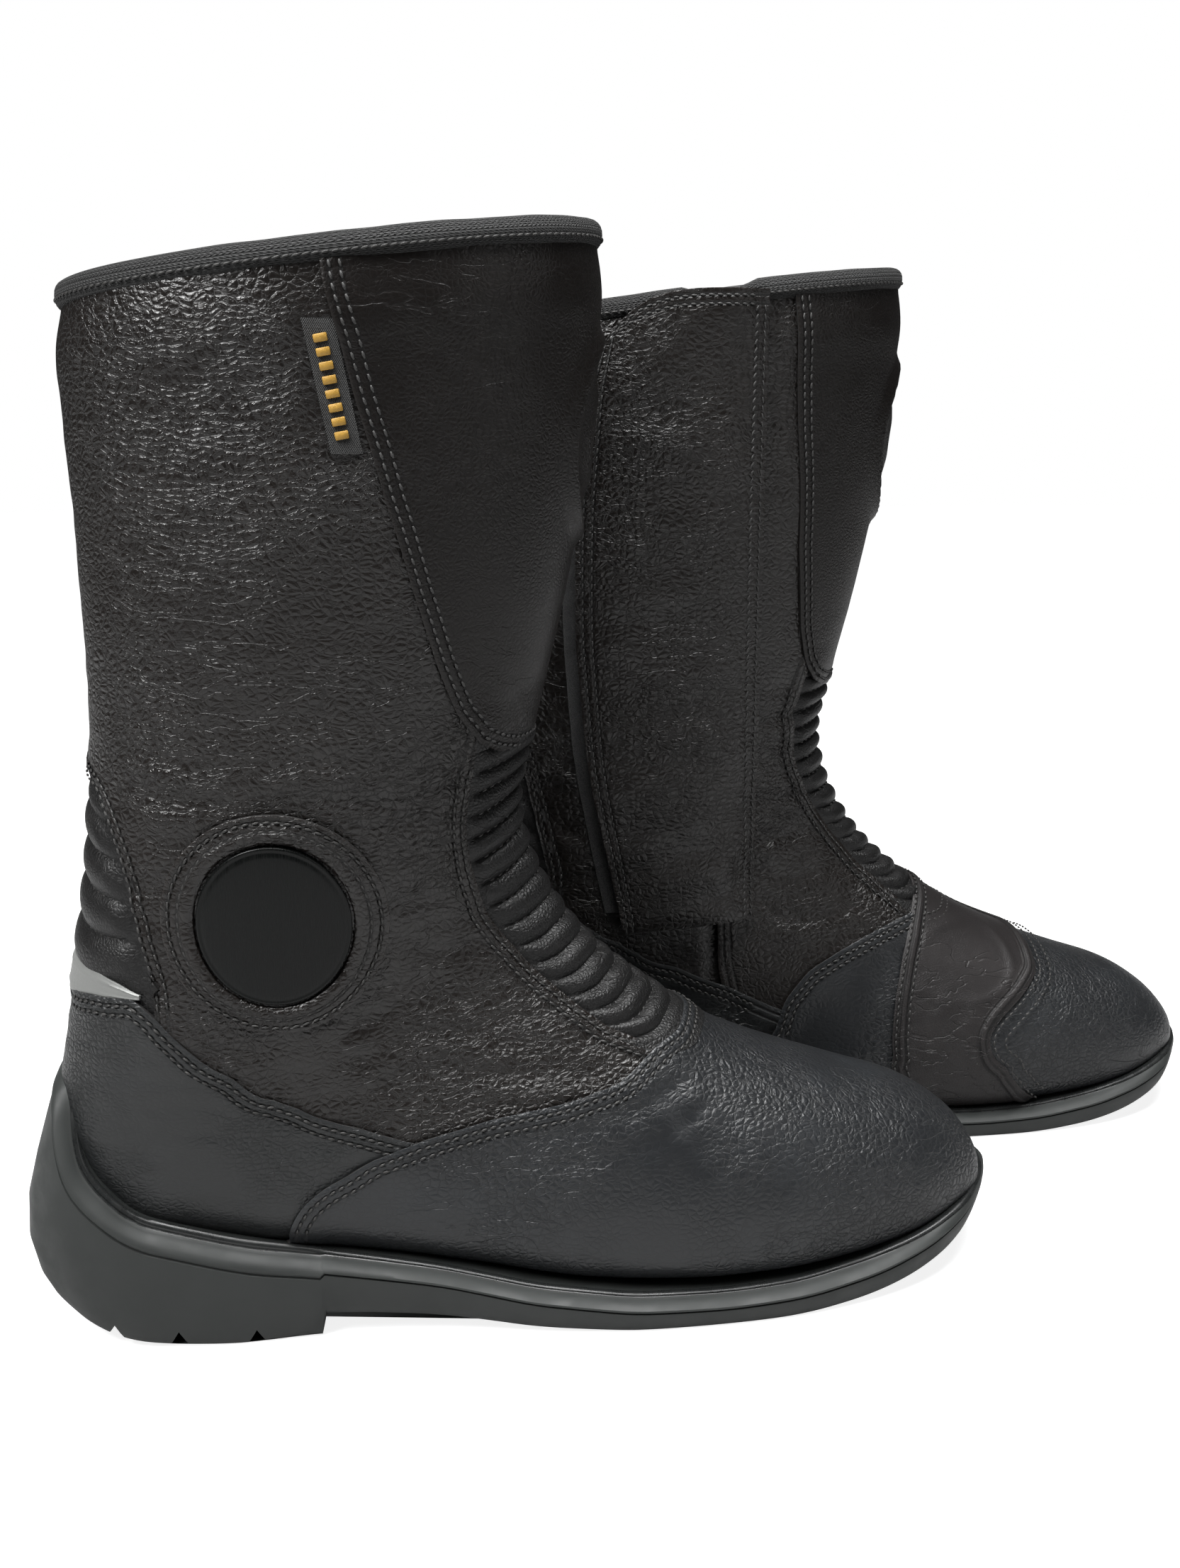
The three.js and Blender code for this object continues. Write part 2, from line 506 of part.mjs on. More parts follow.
// ---------------------------------------------------------------- the collar
/** The knitted binding round the collar, open where the zip runs through it. */
function collarBinding() {
  const steps = 26;
  const start = locate(ZIP.top[0] + 7, 311, INNER).angle; // in front of the zip
  const end = locate(ZIP.top[0] - 7, 311, INNER).angle; // behind it
  const tube = 6;
  const rows = Array.from({ length: steps + 1 }, (_, i) => {
    const angle = start + ((end + 2 * Math.PI - start) * i) / steps;
    const inside = layerPoint(COLLAR, angle, BOOTIE.inner / 2);
    const out = faceNormal(COLLAR, angle);
    const up = facePoint(COLLAR + 0.1, angle).sub(facePoint(COLLAR, angle)).normalize();
    return Array.from({ length: tube }, (_, k) => {
      const turn = (2 * Math.PI * (k + 0.5)) / tube;
      return inside
        .clone()
        .addScaledVector(up, 3.8 + 3.1 * Math.sin(turn))
        .addScaledVector(out, 3.9 * Math.cos(turn));
    });
  });
  const middle = (row) => row.reduce((sum, p) => sum.add(p), new THREE.Vector3()).divideScalar(row.length);
  return ringSolid(rows, middle(rows[0]), middle(rows[rows.length - 1]));
}

// ---------------------------------------------------------------- the zip and its flap
/** The straight line that the zip's chain follows, just under the leather's face. */
function zipLine() {
  const top = sidePoint(...ZIP.top, INNER);
  const bottom = sidePoint(...ZIP.bottom, INNER);
  const along = top.clone().sub(bottom).normalize();
  const middle = sidePoint((ZIP.top[0] + ZIP.bottom[0]) / 2, (ZIP.top[1] + ZIP.bottom[1]) / 2, INNER);
  const { t, angle } = locate(middle.x, middle.z, INNER);
  const across = along.clone().cross(faceNormal(t, angle)).normalize();
  const out = across.clone().cross(along).normalize();
  return { top, bottom, along, across, out };
}

/** A box laid along the zip: distances from its top end, to each side, and above the face. */
function zipBox(line, from, to, left, right, low, high) {
  const corner = (a, s, h) =>
    line.top.clone().addScaledVector(line.along, -a).addScaledVector(line.across, s).addScaledVector(line.out, h);
  const face = (a) => [corner(a, left, low), corner(a, right, low), corner(a, right, high), corner(a, left, high)];
  const rows = [face(from), face(to)];
  const middle = (row) => row.reduce((sum, p) => sum.add(p), new THREE.Vector3()).divideScalar(4);
  return ringSolid(rows, middle(rows[0]), middle(rows[1]));
}

function zipChain(line) {
  const length = line.top.distanceTo(line.bottom);
  return zipBox(line, 0, length - 1, -CHAIN.width / 2, CHAIN.width / 2, CHAIN.inner, CHAIN.outer);
}
function zipTape() {
  const half = ZIP.tape / 2;
  const [[x1, z1], [x0, z0]] = [ZIP.top, ZIP.bottom];
  const outline = [[x0 - half, z0 - 3], [x0 + half, z0 - 3], [x1 + half, z1 + 3], [x1 - half, z1 + 3]];
  return interlayer(outline, 0, REACH, ZIP.tapeThick);
}
function zipSlider(line) {
  const from = 2;
  const to = from + SLIDER.length;
  const top = zipBox(line, from, to, -SLIDER.width / 2, SLIDER.width / 2, CHAIN.outer + GAP, CHAIN.outer + GAP + SLIDER.plate);
  const wing = (sign) => {
    const edge = sign * (CHAIN.width / 2 + GAP);
    const far = sign * (ZIP.slot / 2 - GAP);
    return zipBox(line, from, to, Math.min(edge, far), Math.max(edge, far), -1.2, CHAIN.outer + GAP + 0.5);
  };
  const bridge = zipBox(line, from + 2, from + 7, -1.5, 1.5, CHAIN.outer + GAP + 0.5, CHAIN.outer + GAP + SLIDER.plate + SLIDER.rise);
  return top.add(wing(1)).add(wing(-1)).add(bridge);
}
function zipPull(line) {
  const low = CHAIN.outer + GAP + SLIDER.plate + GAP;
  const body = zipBox(line, 3, 3 + PULL.length, -PULL.width / 2, PULL.width / 2, low, low + PULL.thick);
  const eye = zipBox(line, 3.7, 9.3, -1.8, 1.8, low - 1, low + PULL.thick + 1);
  return body.subtract(eye);
}

const mix = (a, b, share) => a + (b - a) * share;
/** Side-view place on the flap: u from bottom to top, v from the hinge to the free edge. */
function flapPlace(u, v) {
  const z = mix(FLAP.hingeBottom[1], FLAP.hingeTop[1], u);
  const hinge = mix(FLAP.hingeBottom[0], FLAP.hingeTop[0], u);
  const free = heightAt(FLAP_FREE_EDGE.map(([x, height]) => [height, x]), z);
  const corner = 20 * v ** 5 * Math.max(0, (u - 0.86) / 0.14);
  return [mix(hinge, free, v), z - corner];
}
const flapLift = (v) => splineAt([FLAP_LIFT[0], ...FLAP_LIFT, FLAP_LIFT[8]], 1 + 8 * v);
function zipFlap() {
  return sidePlate(FLAP.rows, FLAP.columns, INNER, flapPlace, (u, v) => flapLift(v), (u, v) => flapLift(v) + FLAP.thick);
}
/** The hook strip inside the flap's free edge and the loop strip that it closes on. */
function hookStrip() {
  const place = (u, v) => flapPlace(0.06 + 0.84 * u, 0.78 + 0.17 * v);
  return sidePlate(8, 1, INNER, place, (u, v) => flapLift(0.78 + 0.17 * v) - 1, (u, v) => flapLift(0.78 + 0.17 * v) - GAP);
}
function loopStrip() {
  const edge = [0.03, 0.2, 0.4, 0.65, 0.9].map((u) => flapPlace(u, 1));
  const outline = [...edge.map(([x, z]) => [x - 5, z]), ...edge.map(([x, z]) => [x + 13, z]).reverse()];
  return overlay(outline, 0.7, 0, REACH);
}

// ---------------------------------------------------------------- materials
const finish = (color, roughness, metalness = 0) => new THREE.MeshStandardMaterial({ color, roughness, metalness });
const GRAIN_LEATHER = finish(0x26272a, 0.5);
const SMOOTH_LEATHER = finish(0x222326, 0.42);
const RUBBER = finish(0x2b2d2c, 0.7);
const BINDING = finish(0x191a19, 0.9);
const LINING = finish(0x1e1f22, 0.95);
const BOARD = finish(0x8a7a60, 0.9);
const FOAM = finish(0x3a3c40, 0.9);
const STEEL = finish(0x9a9c9e, 0.35, 1);
const GUNMETAL = finish(0x3c3e40, 0.4, 1);
const HARD_PLASTIC = finish(0x101313, 0.3);
const REFLECTIVE = finish(0xa9aba6, 0.45, 0.2);
const TAPE = finish(0x141516, 0.95);
const LABEL = finish(0x1a1a1a, 0.8);
const PATCH = finish(0x2a2829, 0.55);

// ---------------------------------------------------------------- one boot
/** Every piece of a boot, as [name, solid, material]. */
function bootPieces() {
  const panels = leatherPanels();
  const line = zipLine();
  return [
    ["outsole", outsole(), RUBBER],
    ["insole_board", insoleBoard(), BOARD],
    ["shank", shank(), STEEL],
    ["footbed", footbed(), FOAM],
    ["vamp", panels.vamp, GRAIN_LEATHER],
    ["heel_cover", panels.heel_cover, GRAIN_LEATHER],
    ["shaft_panel", panels.shaft_panel, GRAIN_LEATHER],
    ["inner_rear_panel", panels.inner_rear_panel, GRAIN_LEATHER],
    ["inner_front_panel", panels.inner_front_panel, GRAIN_LEATHER],
    ["shin_panel", panels.shin_panel, SMOOTH_LEATHER],
    ["instep_bellows", panels.instep_bellows, SMOOTH_LEATHER],
    ["achilles_bellows", panels.achilles_bellows, SMOOTH_LEATHER],
    ["toe_puff", toePuff(), HARD_PLASTIC],
    ["heel_counter", heelCounter(), HARD_PLASTIC],
    ["shin_guard", shinGuard(), HARD_PLASTIC],
    ["ankle_pad", anklePad(), FOAM],
    ["bootie", bootie(), LINING],
    ["ankle_ring", ankleRing(), GRAIN_LEATHER],
    ["ankle_disc", ankleDisc(), HARD_PLASTIC],
    ["heel_reflector", heelReflector(), REFLECTIVE],
    ["collar_binding", collarBinding(), BINDING],
    ["side_label", sideLabel(), LABEL],
    ["zip_tape", zipTape(), TAPE],
    ["zip_chain", zipChain(line), GUNMETAL],
    ["zip_slider", zipSlider(line), GUNMETAL],
    ["zip_pull", zipPull(line), GUNMETAL],
    ["zip_flap", zipFlap(), GRAIN_LEATHER],
    ["hook_strip", hookStrip(), TAPE],
    ["loop_strip", loopStrip(), TAPE],
  ];
}

function addPieces(group, prefix, pieces) {
  for (const [name, solid, material] of pieces) {
    const mesh = new THREE.Mesh(geometryOf(solid), material);
    mesh.name = `${prefix}_${name}`;
    group.add(mesh);
  }
  return group;
}

const pieces = bootPieces();
const rightBoot = addPieces(new THREE.Group(), "right", pieces);
const leftBoot = addPieces(new THREE.Group(), "left", [...pieces, ["shift_patch", shiftPatch(), PATCH]]);
leftBoot.scale.y = -1;
leftBoot.position.set(LEFT_BOOT.x, LEFT_BOOT.y, 0);

// The pair's origin is on the floor, under the middle of its box.
const pair = new THREE.Group().add(rightBoot, leftBoot);
const size = new THREE.Box3().setFromObject(pair);
const middle = size.getCenter(new THREE.Vector3());
pair.position.set(-middle.x, -middle.y, -size.min.z);

export default pair;
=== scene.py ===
import math

import bpy
import numpy as np
from mathutils import Matrix, Vector


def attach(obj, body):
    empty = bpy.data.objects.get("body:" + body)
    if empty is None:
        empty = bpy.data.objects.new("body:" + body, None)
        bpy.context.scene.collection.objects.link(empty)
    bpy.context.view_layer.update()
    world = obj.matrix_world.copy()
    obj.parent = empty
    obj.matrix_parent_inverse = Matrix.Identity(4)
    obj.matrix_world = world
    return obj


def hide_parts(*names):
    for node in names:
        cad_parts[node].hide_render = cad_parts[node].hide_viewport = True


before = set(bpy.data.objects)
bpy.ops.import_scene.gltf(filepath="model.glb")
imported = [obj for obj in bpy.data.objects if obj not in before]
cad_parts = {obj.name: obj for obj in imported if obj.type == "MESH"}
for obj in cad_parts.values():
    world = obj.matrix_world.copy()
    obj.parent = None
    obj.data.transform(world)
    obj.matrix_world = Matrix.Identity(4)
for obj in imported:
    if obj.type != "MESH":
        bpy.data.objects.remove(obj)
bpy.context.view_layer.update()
bpy.ops.object.select_all(action="DESELECT")

OUTER, INNER = 1, -1  # sign of the angle round the last
COLLAR = 22.0
PLACE = {"right": (-219.377, -53.0, 1), "left": (-89.377, 53.0, -1)}

# ---------------------------------------------------------------- camera
camera = bpy.data.objects.new("camera", bpy.data.cameras.new("camera"))
bpy.context.scene.collection.objects.link(camera)
camera.data.lens = 34.9
camera.data.sensor_width = 36
camera.location = (-0.1214, -0.516, 0.266)
yaw, pitch = math.radians(9.4), math.radians(12.6)
look = Vector((math.sin(yaw) * math.cos(pitch), math.cos(yaw) * math.cos(pitch), -math.sin(pitch)))
camera.rotation_mode = "QUATERNION"
camera.rotation_quaternion = look.to_track_quat("-Z", "Y")
camera.data.clip_start, camera.data.clip_end = 0.01, 20
bpy.context.scene.camera = camera

# ---------------------------------------------------------------- the last
# front x, front z, back x, back z, outer half width, inner half width, widest share, top and sole powers
LAST = np.array([
    (304.5, 18.5, 305, 36, -17, -19, 0.5, 2, 2),
    (308.5, 27, 308.5, 27, 0, 0, 0.5, 2, 2),
    (305, 36, 304.5, 18.5, 17, 19, 0.42, 2, 2.2),
    (297, 45, 294, 14.5, 27.5, 29.5, 0.37, 2, 2.6),
    (283, 53.5, 276, 10.5, 37.5, 38, 0.34, 2.05, 3.2),
    (263, 60.5, 252, 8.5, 45, 43.5, 0.32, 2.1, 3.6),
    (240, 69, 225, 7.5, 49.5, 46, 0.31, 2.1, 3.8),
    (219, 78, 196, 7.5, 50.5, 45.5, 0.3, 2.05, 3.8),
    (203, 87.5, 165, 9.5, 48, 42, 0.3, 2, 3.8),
    (188, 98.5, 130, 15, 43.5, 38, 0.3, 1.95, 3.6),
    (175, 110, 92, 20, 39.5, 36, 0.32, 1.9, 3.4),
    (164.5, 123, 52, 23, 37.5, 35.5, 0.36, 1.9, 3),
    (157, 137, 19, 29, 37, 35.5, 0.41, 1.95, 2.6),
    (153, 149, 7, 52, 37.5, 37.5, 0.45, 2, 2.35),
    (151.5, 159, 8.5, 78, 38.5, 38, 0.47, 2.05, 2.25),
    (152.5, 169, 13.5, 103, 40, 38.8, 0.48, 2.1, 2.2),
    (155.5, 180, 18.5, 127, 41.5, 39.35, 0.49, 2.1, 2.2),
    (159.5, 194, 22.5, 153, 43.5, 40.3, 0.5, 2.15, 2.2),
    (164, 212, 24.5, 182, 45.5, 42.05, 0.5, 2.15, 2.2),
    (169, 236, 25, 212, 48, 44.2, 0.5, 2.15, 2.2),
    (173.5, 262, 24.5, 242, 50, 46.6, 0.5, 2.15, 2.2),
    (176, 290, 23.5, 272, 51.5, 49.2, 0.5, 2.15, 2.2),
    (177, 322, 24, 303, 52.5, 52, 0.5, 2.15, 2.2),
    (177.5, 354, 24.5, 334, 53, 54, 0.5, 2.15, 2.2),
    (178, 386, 25, 365, 53.5, 56, 0.5, 2.15, 2.2),
])


def track(column, t):
    """One column of the last's table, followed smoothly along its sections."""
    values = LAST[:, column]
    i = np.clip(np.floor(t).astype(int), 1, len(values) - 3)
    s = t - i
    a, b, c, d = values[i - 1], values[i], values[i + 1], values[i + 2]
    return b + 0.5 * s * (c - a + s * (2 * a - 5 * b + 4 * c - d + s * (3 * (b - c) + d - a)))


def face(t, angle):
    """Points of the upper's outer face, from spline position and angle."""
    t, angle = np.broadcast_arrays(np.asarray(t, float), np.asarray(angle, float))
    c, s = np.cos(angle), np.sin(angle)
    power = 2 / np.where(c >= 0, track(7, t), track(8, t))
    widest = track(6, t)
    reach = np.abs(c) ** power
    share = np.where(c >= 0, widest + (1 - widest) * reach, widest * (1 - reach))
    half = np.where(s >= 0, track(4, t), track(5, t))
    bx, bz = track(2, t), track(3, t)
    return np.stack([
        bx + share * (track(0, t) - bx),
        -np.sign(s) * half * np.abs(s) ** power,
        bz + share * (track(1, t) - bz),
    ], -1)


def slopes(t, angle):
    """How the face moves along the last and around it."""
    step = 0.02
    low = np.maximum(t - step, 1.004)
    along = (face(low + 2 * step, angle) - face(low, angle)) / (2 * step)
    around = (face(t, angle + step) - face(t, angle - step)) / (2 * step)
    return along, around


def outward(t, angle):
    """The direction straight out of the face."""
    along, around = slopes(np.asarray(t, float), np.asarray(angle, float))
    n = np.cross(along, around)
    return n / np.maximum(np.linalg.norm(n, axis=-1, keepdims=True), 1e-9)


def lay(t, angle, lift):
    """Points at a height above the face."""
    return face(t, angle) + outward(t, angle) * np.asarray(lift)[..., None]


FINE_T = np.linspace(1, 23.5, 1200)
FRONT_Z, BACK_Z = track(1, FINE_T), track(3, FINE_T)


def on_front(z):
    """The place on the front centre line at a height."""
    return np.array([[np.interp(z, FRONT_Z, FINE_T), 0.0]])


def on_back(z):
    """The place on the back centre line at a height."""
    rising = FINE_T > 7.5
    return np.array([[np.interp(z, BACK_Z[rising], FINE_T[rising]), math.pi]])


SEEDS = np.stack(np.meshgrid(np.arange(1.5, 23, 0.25), np.linspace(0.12, 3.0, 36), indexing="ij"), -1).reshape(-1, 2)


def on_side(points, side):
    """Places given in side view, as spline positions and angles on one side of the foot."""
    want = np.asarray(points, float)
    seeds = SEEDS * (1, side)
    flat = face(seeds[:, 0], seeds[:, 1])[:, [0, 2]]
    parts = np.array_split(want, 1 + len(want) // 500)
    near = np.concatenate([np.argmin(((part[:, None] - flat[None]) ** 2).sum(-1), 1) for part in parts])
    t, angle = seeds[near].T.copy()
    for _ in range(25):
        e = want - face(t, angle)[:, [0, 2]]
        along, around = slopes(t, angle)
        det = along[:, 0] * around[:, 2] - around[:, 0] * along[:, 2]
        det = np.where(np.abs(det) < 1e-3, 1e-3, det)
        t = t + np.clip((e[:, 0] * around[:, 2] - e[:, 1] * around[:, 0]) / det, -0.3, 0.3)
        angle = angle + np.clip((along[:, 0] * e[:, 1] - along[:, 2] * e[:, 0]) / det, -0.15, 0.15)
        t, angle = np.clip(t, 1.05, 23.5), np.clip(angle * side, 0.005, math.pi - 0.005) * side
    return np.stack([t, angle], 1)


def turned(line):
    """The same line with angles from 0 to a full turn, for panels that cross the back."""
    line = line.copy()
    line[line[:, 1] < 0, 1] += 2 * math.pi
    return line


def lengths(line):
    p = face(line[:, 0], line[:, 1])
    return np.concatenate([[0], np.cumsum(np.linalg.norm(np.diff(p, axis=0), axis=1))])


def at_share(line, share):
    d = lengths(line)
    s = np.asarray(share) * d[-1]
    return np.stack([np.interp(s, d, line[:, 0]), np.interp(s, d, line[:, 1])], -1)


def eased(*parts, ease=4.0, count=260):
    """A line through the given places with its corners eased, evenly spaced."""
    line = at_share(np.vstack(parts), np.linspace(0, 1, count))
    k = max(1, int(ease / (lengths(line)[-1] / count)))
    padded = np.vstack([2 * line[0] - line[k:0:-1], line, 2 * line[-1] - line[-2:-k - 2:-1]])
    window = np.hanning(2 * k + 3)[1:-1]
    window /= window.sum()
    soft = np.stack([np.convolve(padded[:, c], window, "valid") for c in (0, 1)], 1)
    return at_share(soft, np.linspace(0, 1, count))


def beside(line, distance, toward):
    """The line moved sideways on the face, towards a place when the distance is positive."""
    p = face(line[:, 0], line[:, 1])
    tangent = np.gradient(p, axis=0)
    side = np.cross(outward(line[:, 0], line[:, 1]), tangent)
    side /= np.linalg.norm(side, axis=1, keepdims=True)
    middle = len(line) // 2
    goal = face(*np.asarray(toward, float)) - p[middle]
    sign = 1 if goal @ side[middle] > 0 else -1
    target = p + side * sign * distance
    moved = line.copy()
    for _ in range(4):
        e = target - face(moved[:, 0], moved[:, 1])
        along, around = slopes(moved[:, 0], moved[:, 1])
        aa, bb, ab = (along ** 2).sum(1), (around ** 2).sum(1), (along * around).sum(1)
        ea, eb = (e * along).sum(1), (e * around).sum(1)
        det = np.maximum(aa * bb - ab ** 2, 1e-6)
        moved[:, 0] += (ea * bb - eb * ab) / det
        moved[:, 1] += (eb * aa - ea * ab) / det
    return moved


def far_from(p, line):
    """Distance of each point from a line on the face."""
    q = face(line[:, 0], line[:, 1])
    flat = p.reshape(-1, 3)
    out = np.empty(len(flat))
    for i in range(0, len(flat), 4000):
        out[i:i + 4000] = np.sqrt(((flat[i:i + 4000, None] - q[None]) ** 2).sum(-1)).min(1)
    return out.reshape(p.shape[:-1])


def ripple(p, wave, seed):
    """A smooth random field over points, about -1 to 1."""
    rng = np.random.default_rng(seed)
    total = np.zeros(p.shape[:-1])
    for _ in range(14):
        way = rng.normal(size=3)
        way *= 2 * math.pi / (wave * rng.uniform(0.7, 1.5)) / np.linalg.norm(way)
        total += np.cos(p @ way + rng.uniform(0, 6.28))
    return total / 3.7


bump_at = lambda d, centre, width: np.exp(-(((d - centre) / width) ** 2))


def stops(length, step, fine=(True, True), near=(0, 0.5, 1.1, 1.8, 2.6, 3.4, 4.2, 5.0, 5.9, 7.0, 8.4)):
    """Shares along a side of a panel, closer together near its sewn ends."""
    near = np.array(near)
    low = near if fine[0] else np.array([0.0])
    high = near if fine[1] else np.array([0.0])
    room = length - low[-1] - high[-1]
    inside = low[-1] + np.linspace(0, room, max(2, int(room / step) + 1))
    return np.concatenate([low[:-1], inside, (length - high[:-1])[::-1]]) / length


def patch(top, bottom, left, right, s, r):
    """Places filling four border lines: s from left to right, r from top to bottom."""
    a, b, c, d = at_share(top, s), at_share(bottom, s), at_share(left, r), at_share(right, r)
    s, r = s[None, :, None], r[:, None, None]
    corners = (1 - s) * (1 - r) * a[0] + s * (1 - r) * a[-1] + (1 - s) * r * b[0] + s * r * b[-1]
    return (1 - r) * a[None] + r * b[None] + (1 - s) * c[:, None] + s * d[:, None] - corners


# ---------------------------------------------------------------- mesh helpers
def alone(piece):
    bpy.ops.object.select_all(action="DESELECT")
    piece.select_set(True)
    bpy.context.view_layer.objects.active = piece
    return piece


def finished(piece, *modifiers):
    """Adds modifiers with their settings and applies each."""
    alone(piece)
    for kind, settings in modifiers:
        m = piece.modifiers.new(kind.lower(), kind)
        for key, value in settings.items():
            setattr(m, key, value)
        bpy.ops.object.modifier_apply(modifier=m.name)
    return piece


def edited(piece, *steps):
    alone(piece)
    bpy.ops.object.mode_set(mode="EDIT")
    bpy.ops.mesh.select_all(action="SELECT")
    for step in steps:
        step()
    bpy.ops.object.mode_set(mode="OBJECT")
    return piece


def coordinates(piece):
    co = np.empty(len(piece.data.vertices) * 3)
    piece.data.vertices.foreach_get("co", co)
    return co.reshape(-1, 3)


def put(piece, co):
    piece.data.vertices.foreach_set("co", np.ascontiguousarray(co, dtype=float).ravel())
    piece.data.update()


def smooth(piece, angle=40):
    alone(piece)
    bpy.ops.object.shade_smooth_by_angle(angle=math.radians(angle))
    return piece


def painted(piece, *materials):
    piece.data.materials.clear()
    for m in materials:
        piece.data.materials.append(m)
    return piece


def mark(piece, name, values):
    layer = piece.data.attributes.get(name) or piece.data.attributes.new(name, "FLOAT", "POINT")
    layer.data.foreach_set("value", np.asarray(values, np.float32).ravel())


def grid_piece(name, points, extent=(1, 1), closed=False):
    """A grid primitive whose corners are laid on the given rows of points (in mm)."""
    rows, columns = points.shape[:2]
    bpy.ops.mesh.primitive_grid_add(x_subdivisions=columns - 1, y_subdivisions=rows - 1, size=2)
    piece = bpy.context.object
    piece.name = piece.data.name = name
    uv = piece.data.uv_layers.active.data
    flat = np.empty(len(uv) * 2)
    uv.foreach_get("uv", flat)
    uv.foreach_set("uv", (flat.reshape(-1, 2) * extent).ravel())
    put(piece, points.reshape(-1, 3) / 1000)
    if closed:
        edited(piece, lambda: bpy.ops.mesh.remove_doubles(threshold=2e-5))
    return piece


def face_out(piece, hint):
    """Turns the faces over if most look away from the hint directions at their corners."""
    normals = np.empty(len(piece.data.vertices) * 3)
    piece.data.vertices.foreach_get("normal", normals)
    if (normals.reshape(-1, 3) * hint.reshape(-1, 3)).sum() < 0:
        edited(piece, lambda: bpy.ops.mesh.flip_normals())
    return piece


def leather(name, places, lift, thick=1.5, materials=(), marks=None, cut=0.25, weld=False, extent=(1, 1)):
    """A sheet laid on the last at its lift, given its thickness inwards and a rounded cut edge."""
    t, angle = places[..., 0], places[..., 1]
    points = lay(t, angle, lift)
    piece = grid_piece(name, points, extent)
    for key, values in (marks or {}).items():
        mark(piece, key, values)
    face_out(piece, outward(t, angle))
    if weld:
        edited(piece, lambda: bpy.ops.mesh.remove_doubles(threshold=5e-5))
    painted(piece, *materials)
    rim = 1 if len(materials) > 1 else 0
    finished(piece, ("SOLIDIFY", {"thickness": thick / 1000, "offset": -1, "material_offset_rim": rim}))
    if cut:
        finished(
            piece,
            ("BEVEL", {"width": cut / 1000, "segments": 2, "limit_method": "ANGLE", "angle_limit": math.radians(62)}),
        )
    return smooth(piece, 45)


def many(name, shape, origins, axes, material):
    """One mesh of copies of a small modelled shape, each at its origin and on its own three axes (mm)."""
    base = coordinates(shape) * 1000
    faces = [tuple(p.vertices) for p in shape.data.polygons]
    co = (origins[:, None, :] + np.einsum("vk,nkc->nvc", base, axes)).reshape(-1, 3) / 1000
    step = len(base)
    sizes = np.array([len(f) for f in faces])
    corners = np.concatenate([np.array(f) for f in faces])
    count = len(origins)
    mesh = bpy.data.meshes.new(name)
    mesh.vertices.add(len(co))
    mesh.vertices.foreach_set("co", co.ravel())
    all_corners = (corners[None] + np.arange(count)[:, None] * step).ravel()
    mesh.loops.add(len(all_corners))
    mesh.loops.foreach_set("vertex_index", all_corners.astype(np.int32))
    mesh.polygons.add(count * len(faces))
    starts = np.concatenate([[0], np.cumsum(np.tile(sizes, count))[:-1]])
    mesh.polygons.foreach_set("loop_start", starts.astype(np.int32))
    mesh.update(calc_edges=True)
    mesh.validate()
    piece = bpy.data.objects.new(name, mesh)
    bpy.context.scene.collection.objects.link(piece)
    painted(piece, material)
    return smooth(piece, 60)


def joined(name, pieces):
    bpy.ops.object.select_all(action="DESELECT")
    for p in pieces:
        p.select_set(True)
    bpy.context.view_layer.objects.active = pieces[0]
    if len(pieces) > 1:
        bpy.ops.object.join()
    piece = bpy.context.object
    piece.name = piece.data.name = name
    return piece


# ---------------------------------------------------------------- shader node groups
def new_group(name, inputs, outputs):
    group = bpy.data.node_groups.new(name, "ShaderNodeTree")
    for title, kind, value in inputs:
        socket = group.interface.new_socket(title, in_out="INPUT", socket_type="NodeSocket" + kind)
        if value is not None:
            socket.default_value = value
    for title, kind in outputs:
        group.interface.new_socket(title, in_out="OUTPUT", socket_type="NodeSocket" + kind)
    return group, group.nodes.new("NodeGroupInput"), group.nodes.new("NodeGroupOutput")


def node(tree, kind, values=None, **settings):
    made = tree.nodes.new("ShaderNode" + kind)
    for key, value in settings.items():
        setattr(made, key, value)
    for key, value in (values or {}).items():
        if isinstance(value, bpy.types.NodeSocket):
            tree.links.new(value, made.inputs[key])
        else:
            made.inputs[key].default_value = value
    return made


def sum_of(tree, a, b, operation="ADD", clamp=False):
    made = tree.nodes.new("ShaderNodeMath")
    made.operation, made.use_clamp = operation, clamp
    for i, value in enumerate((a, b)):
        if isinstance(value, bpy.types.NodeSocket):
            tree.links.new(value, made.inputs[i])
        else:
            made.inputs[i].default_value = value
    return made.outputs[0]


def ranged(tree, value, low, high, to_low=0.0, to_high=1.0):
    made = node(tree, "MapRange", {0: value, 1: low, 2: high, 3: to_low, 4: to_high})
    made.interpolation_type = "SMOOTHSTEP"
    return made.outputs[0]


def blended(tree, share, a, b):
    made = tree.nodes.new("ShaderNodeMix")
    made.data_type = "RGBA"
    for i, value in ((0, share), (6, a), (7, b)):
        if isinstance(value, bpy.types.NodeSocket):
            tree.links.new(value, made.inputs[i])
        else:
            made.inputs[i].default_value = value
    return made.outputs[2]


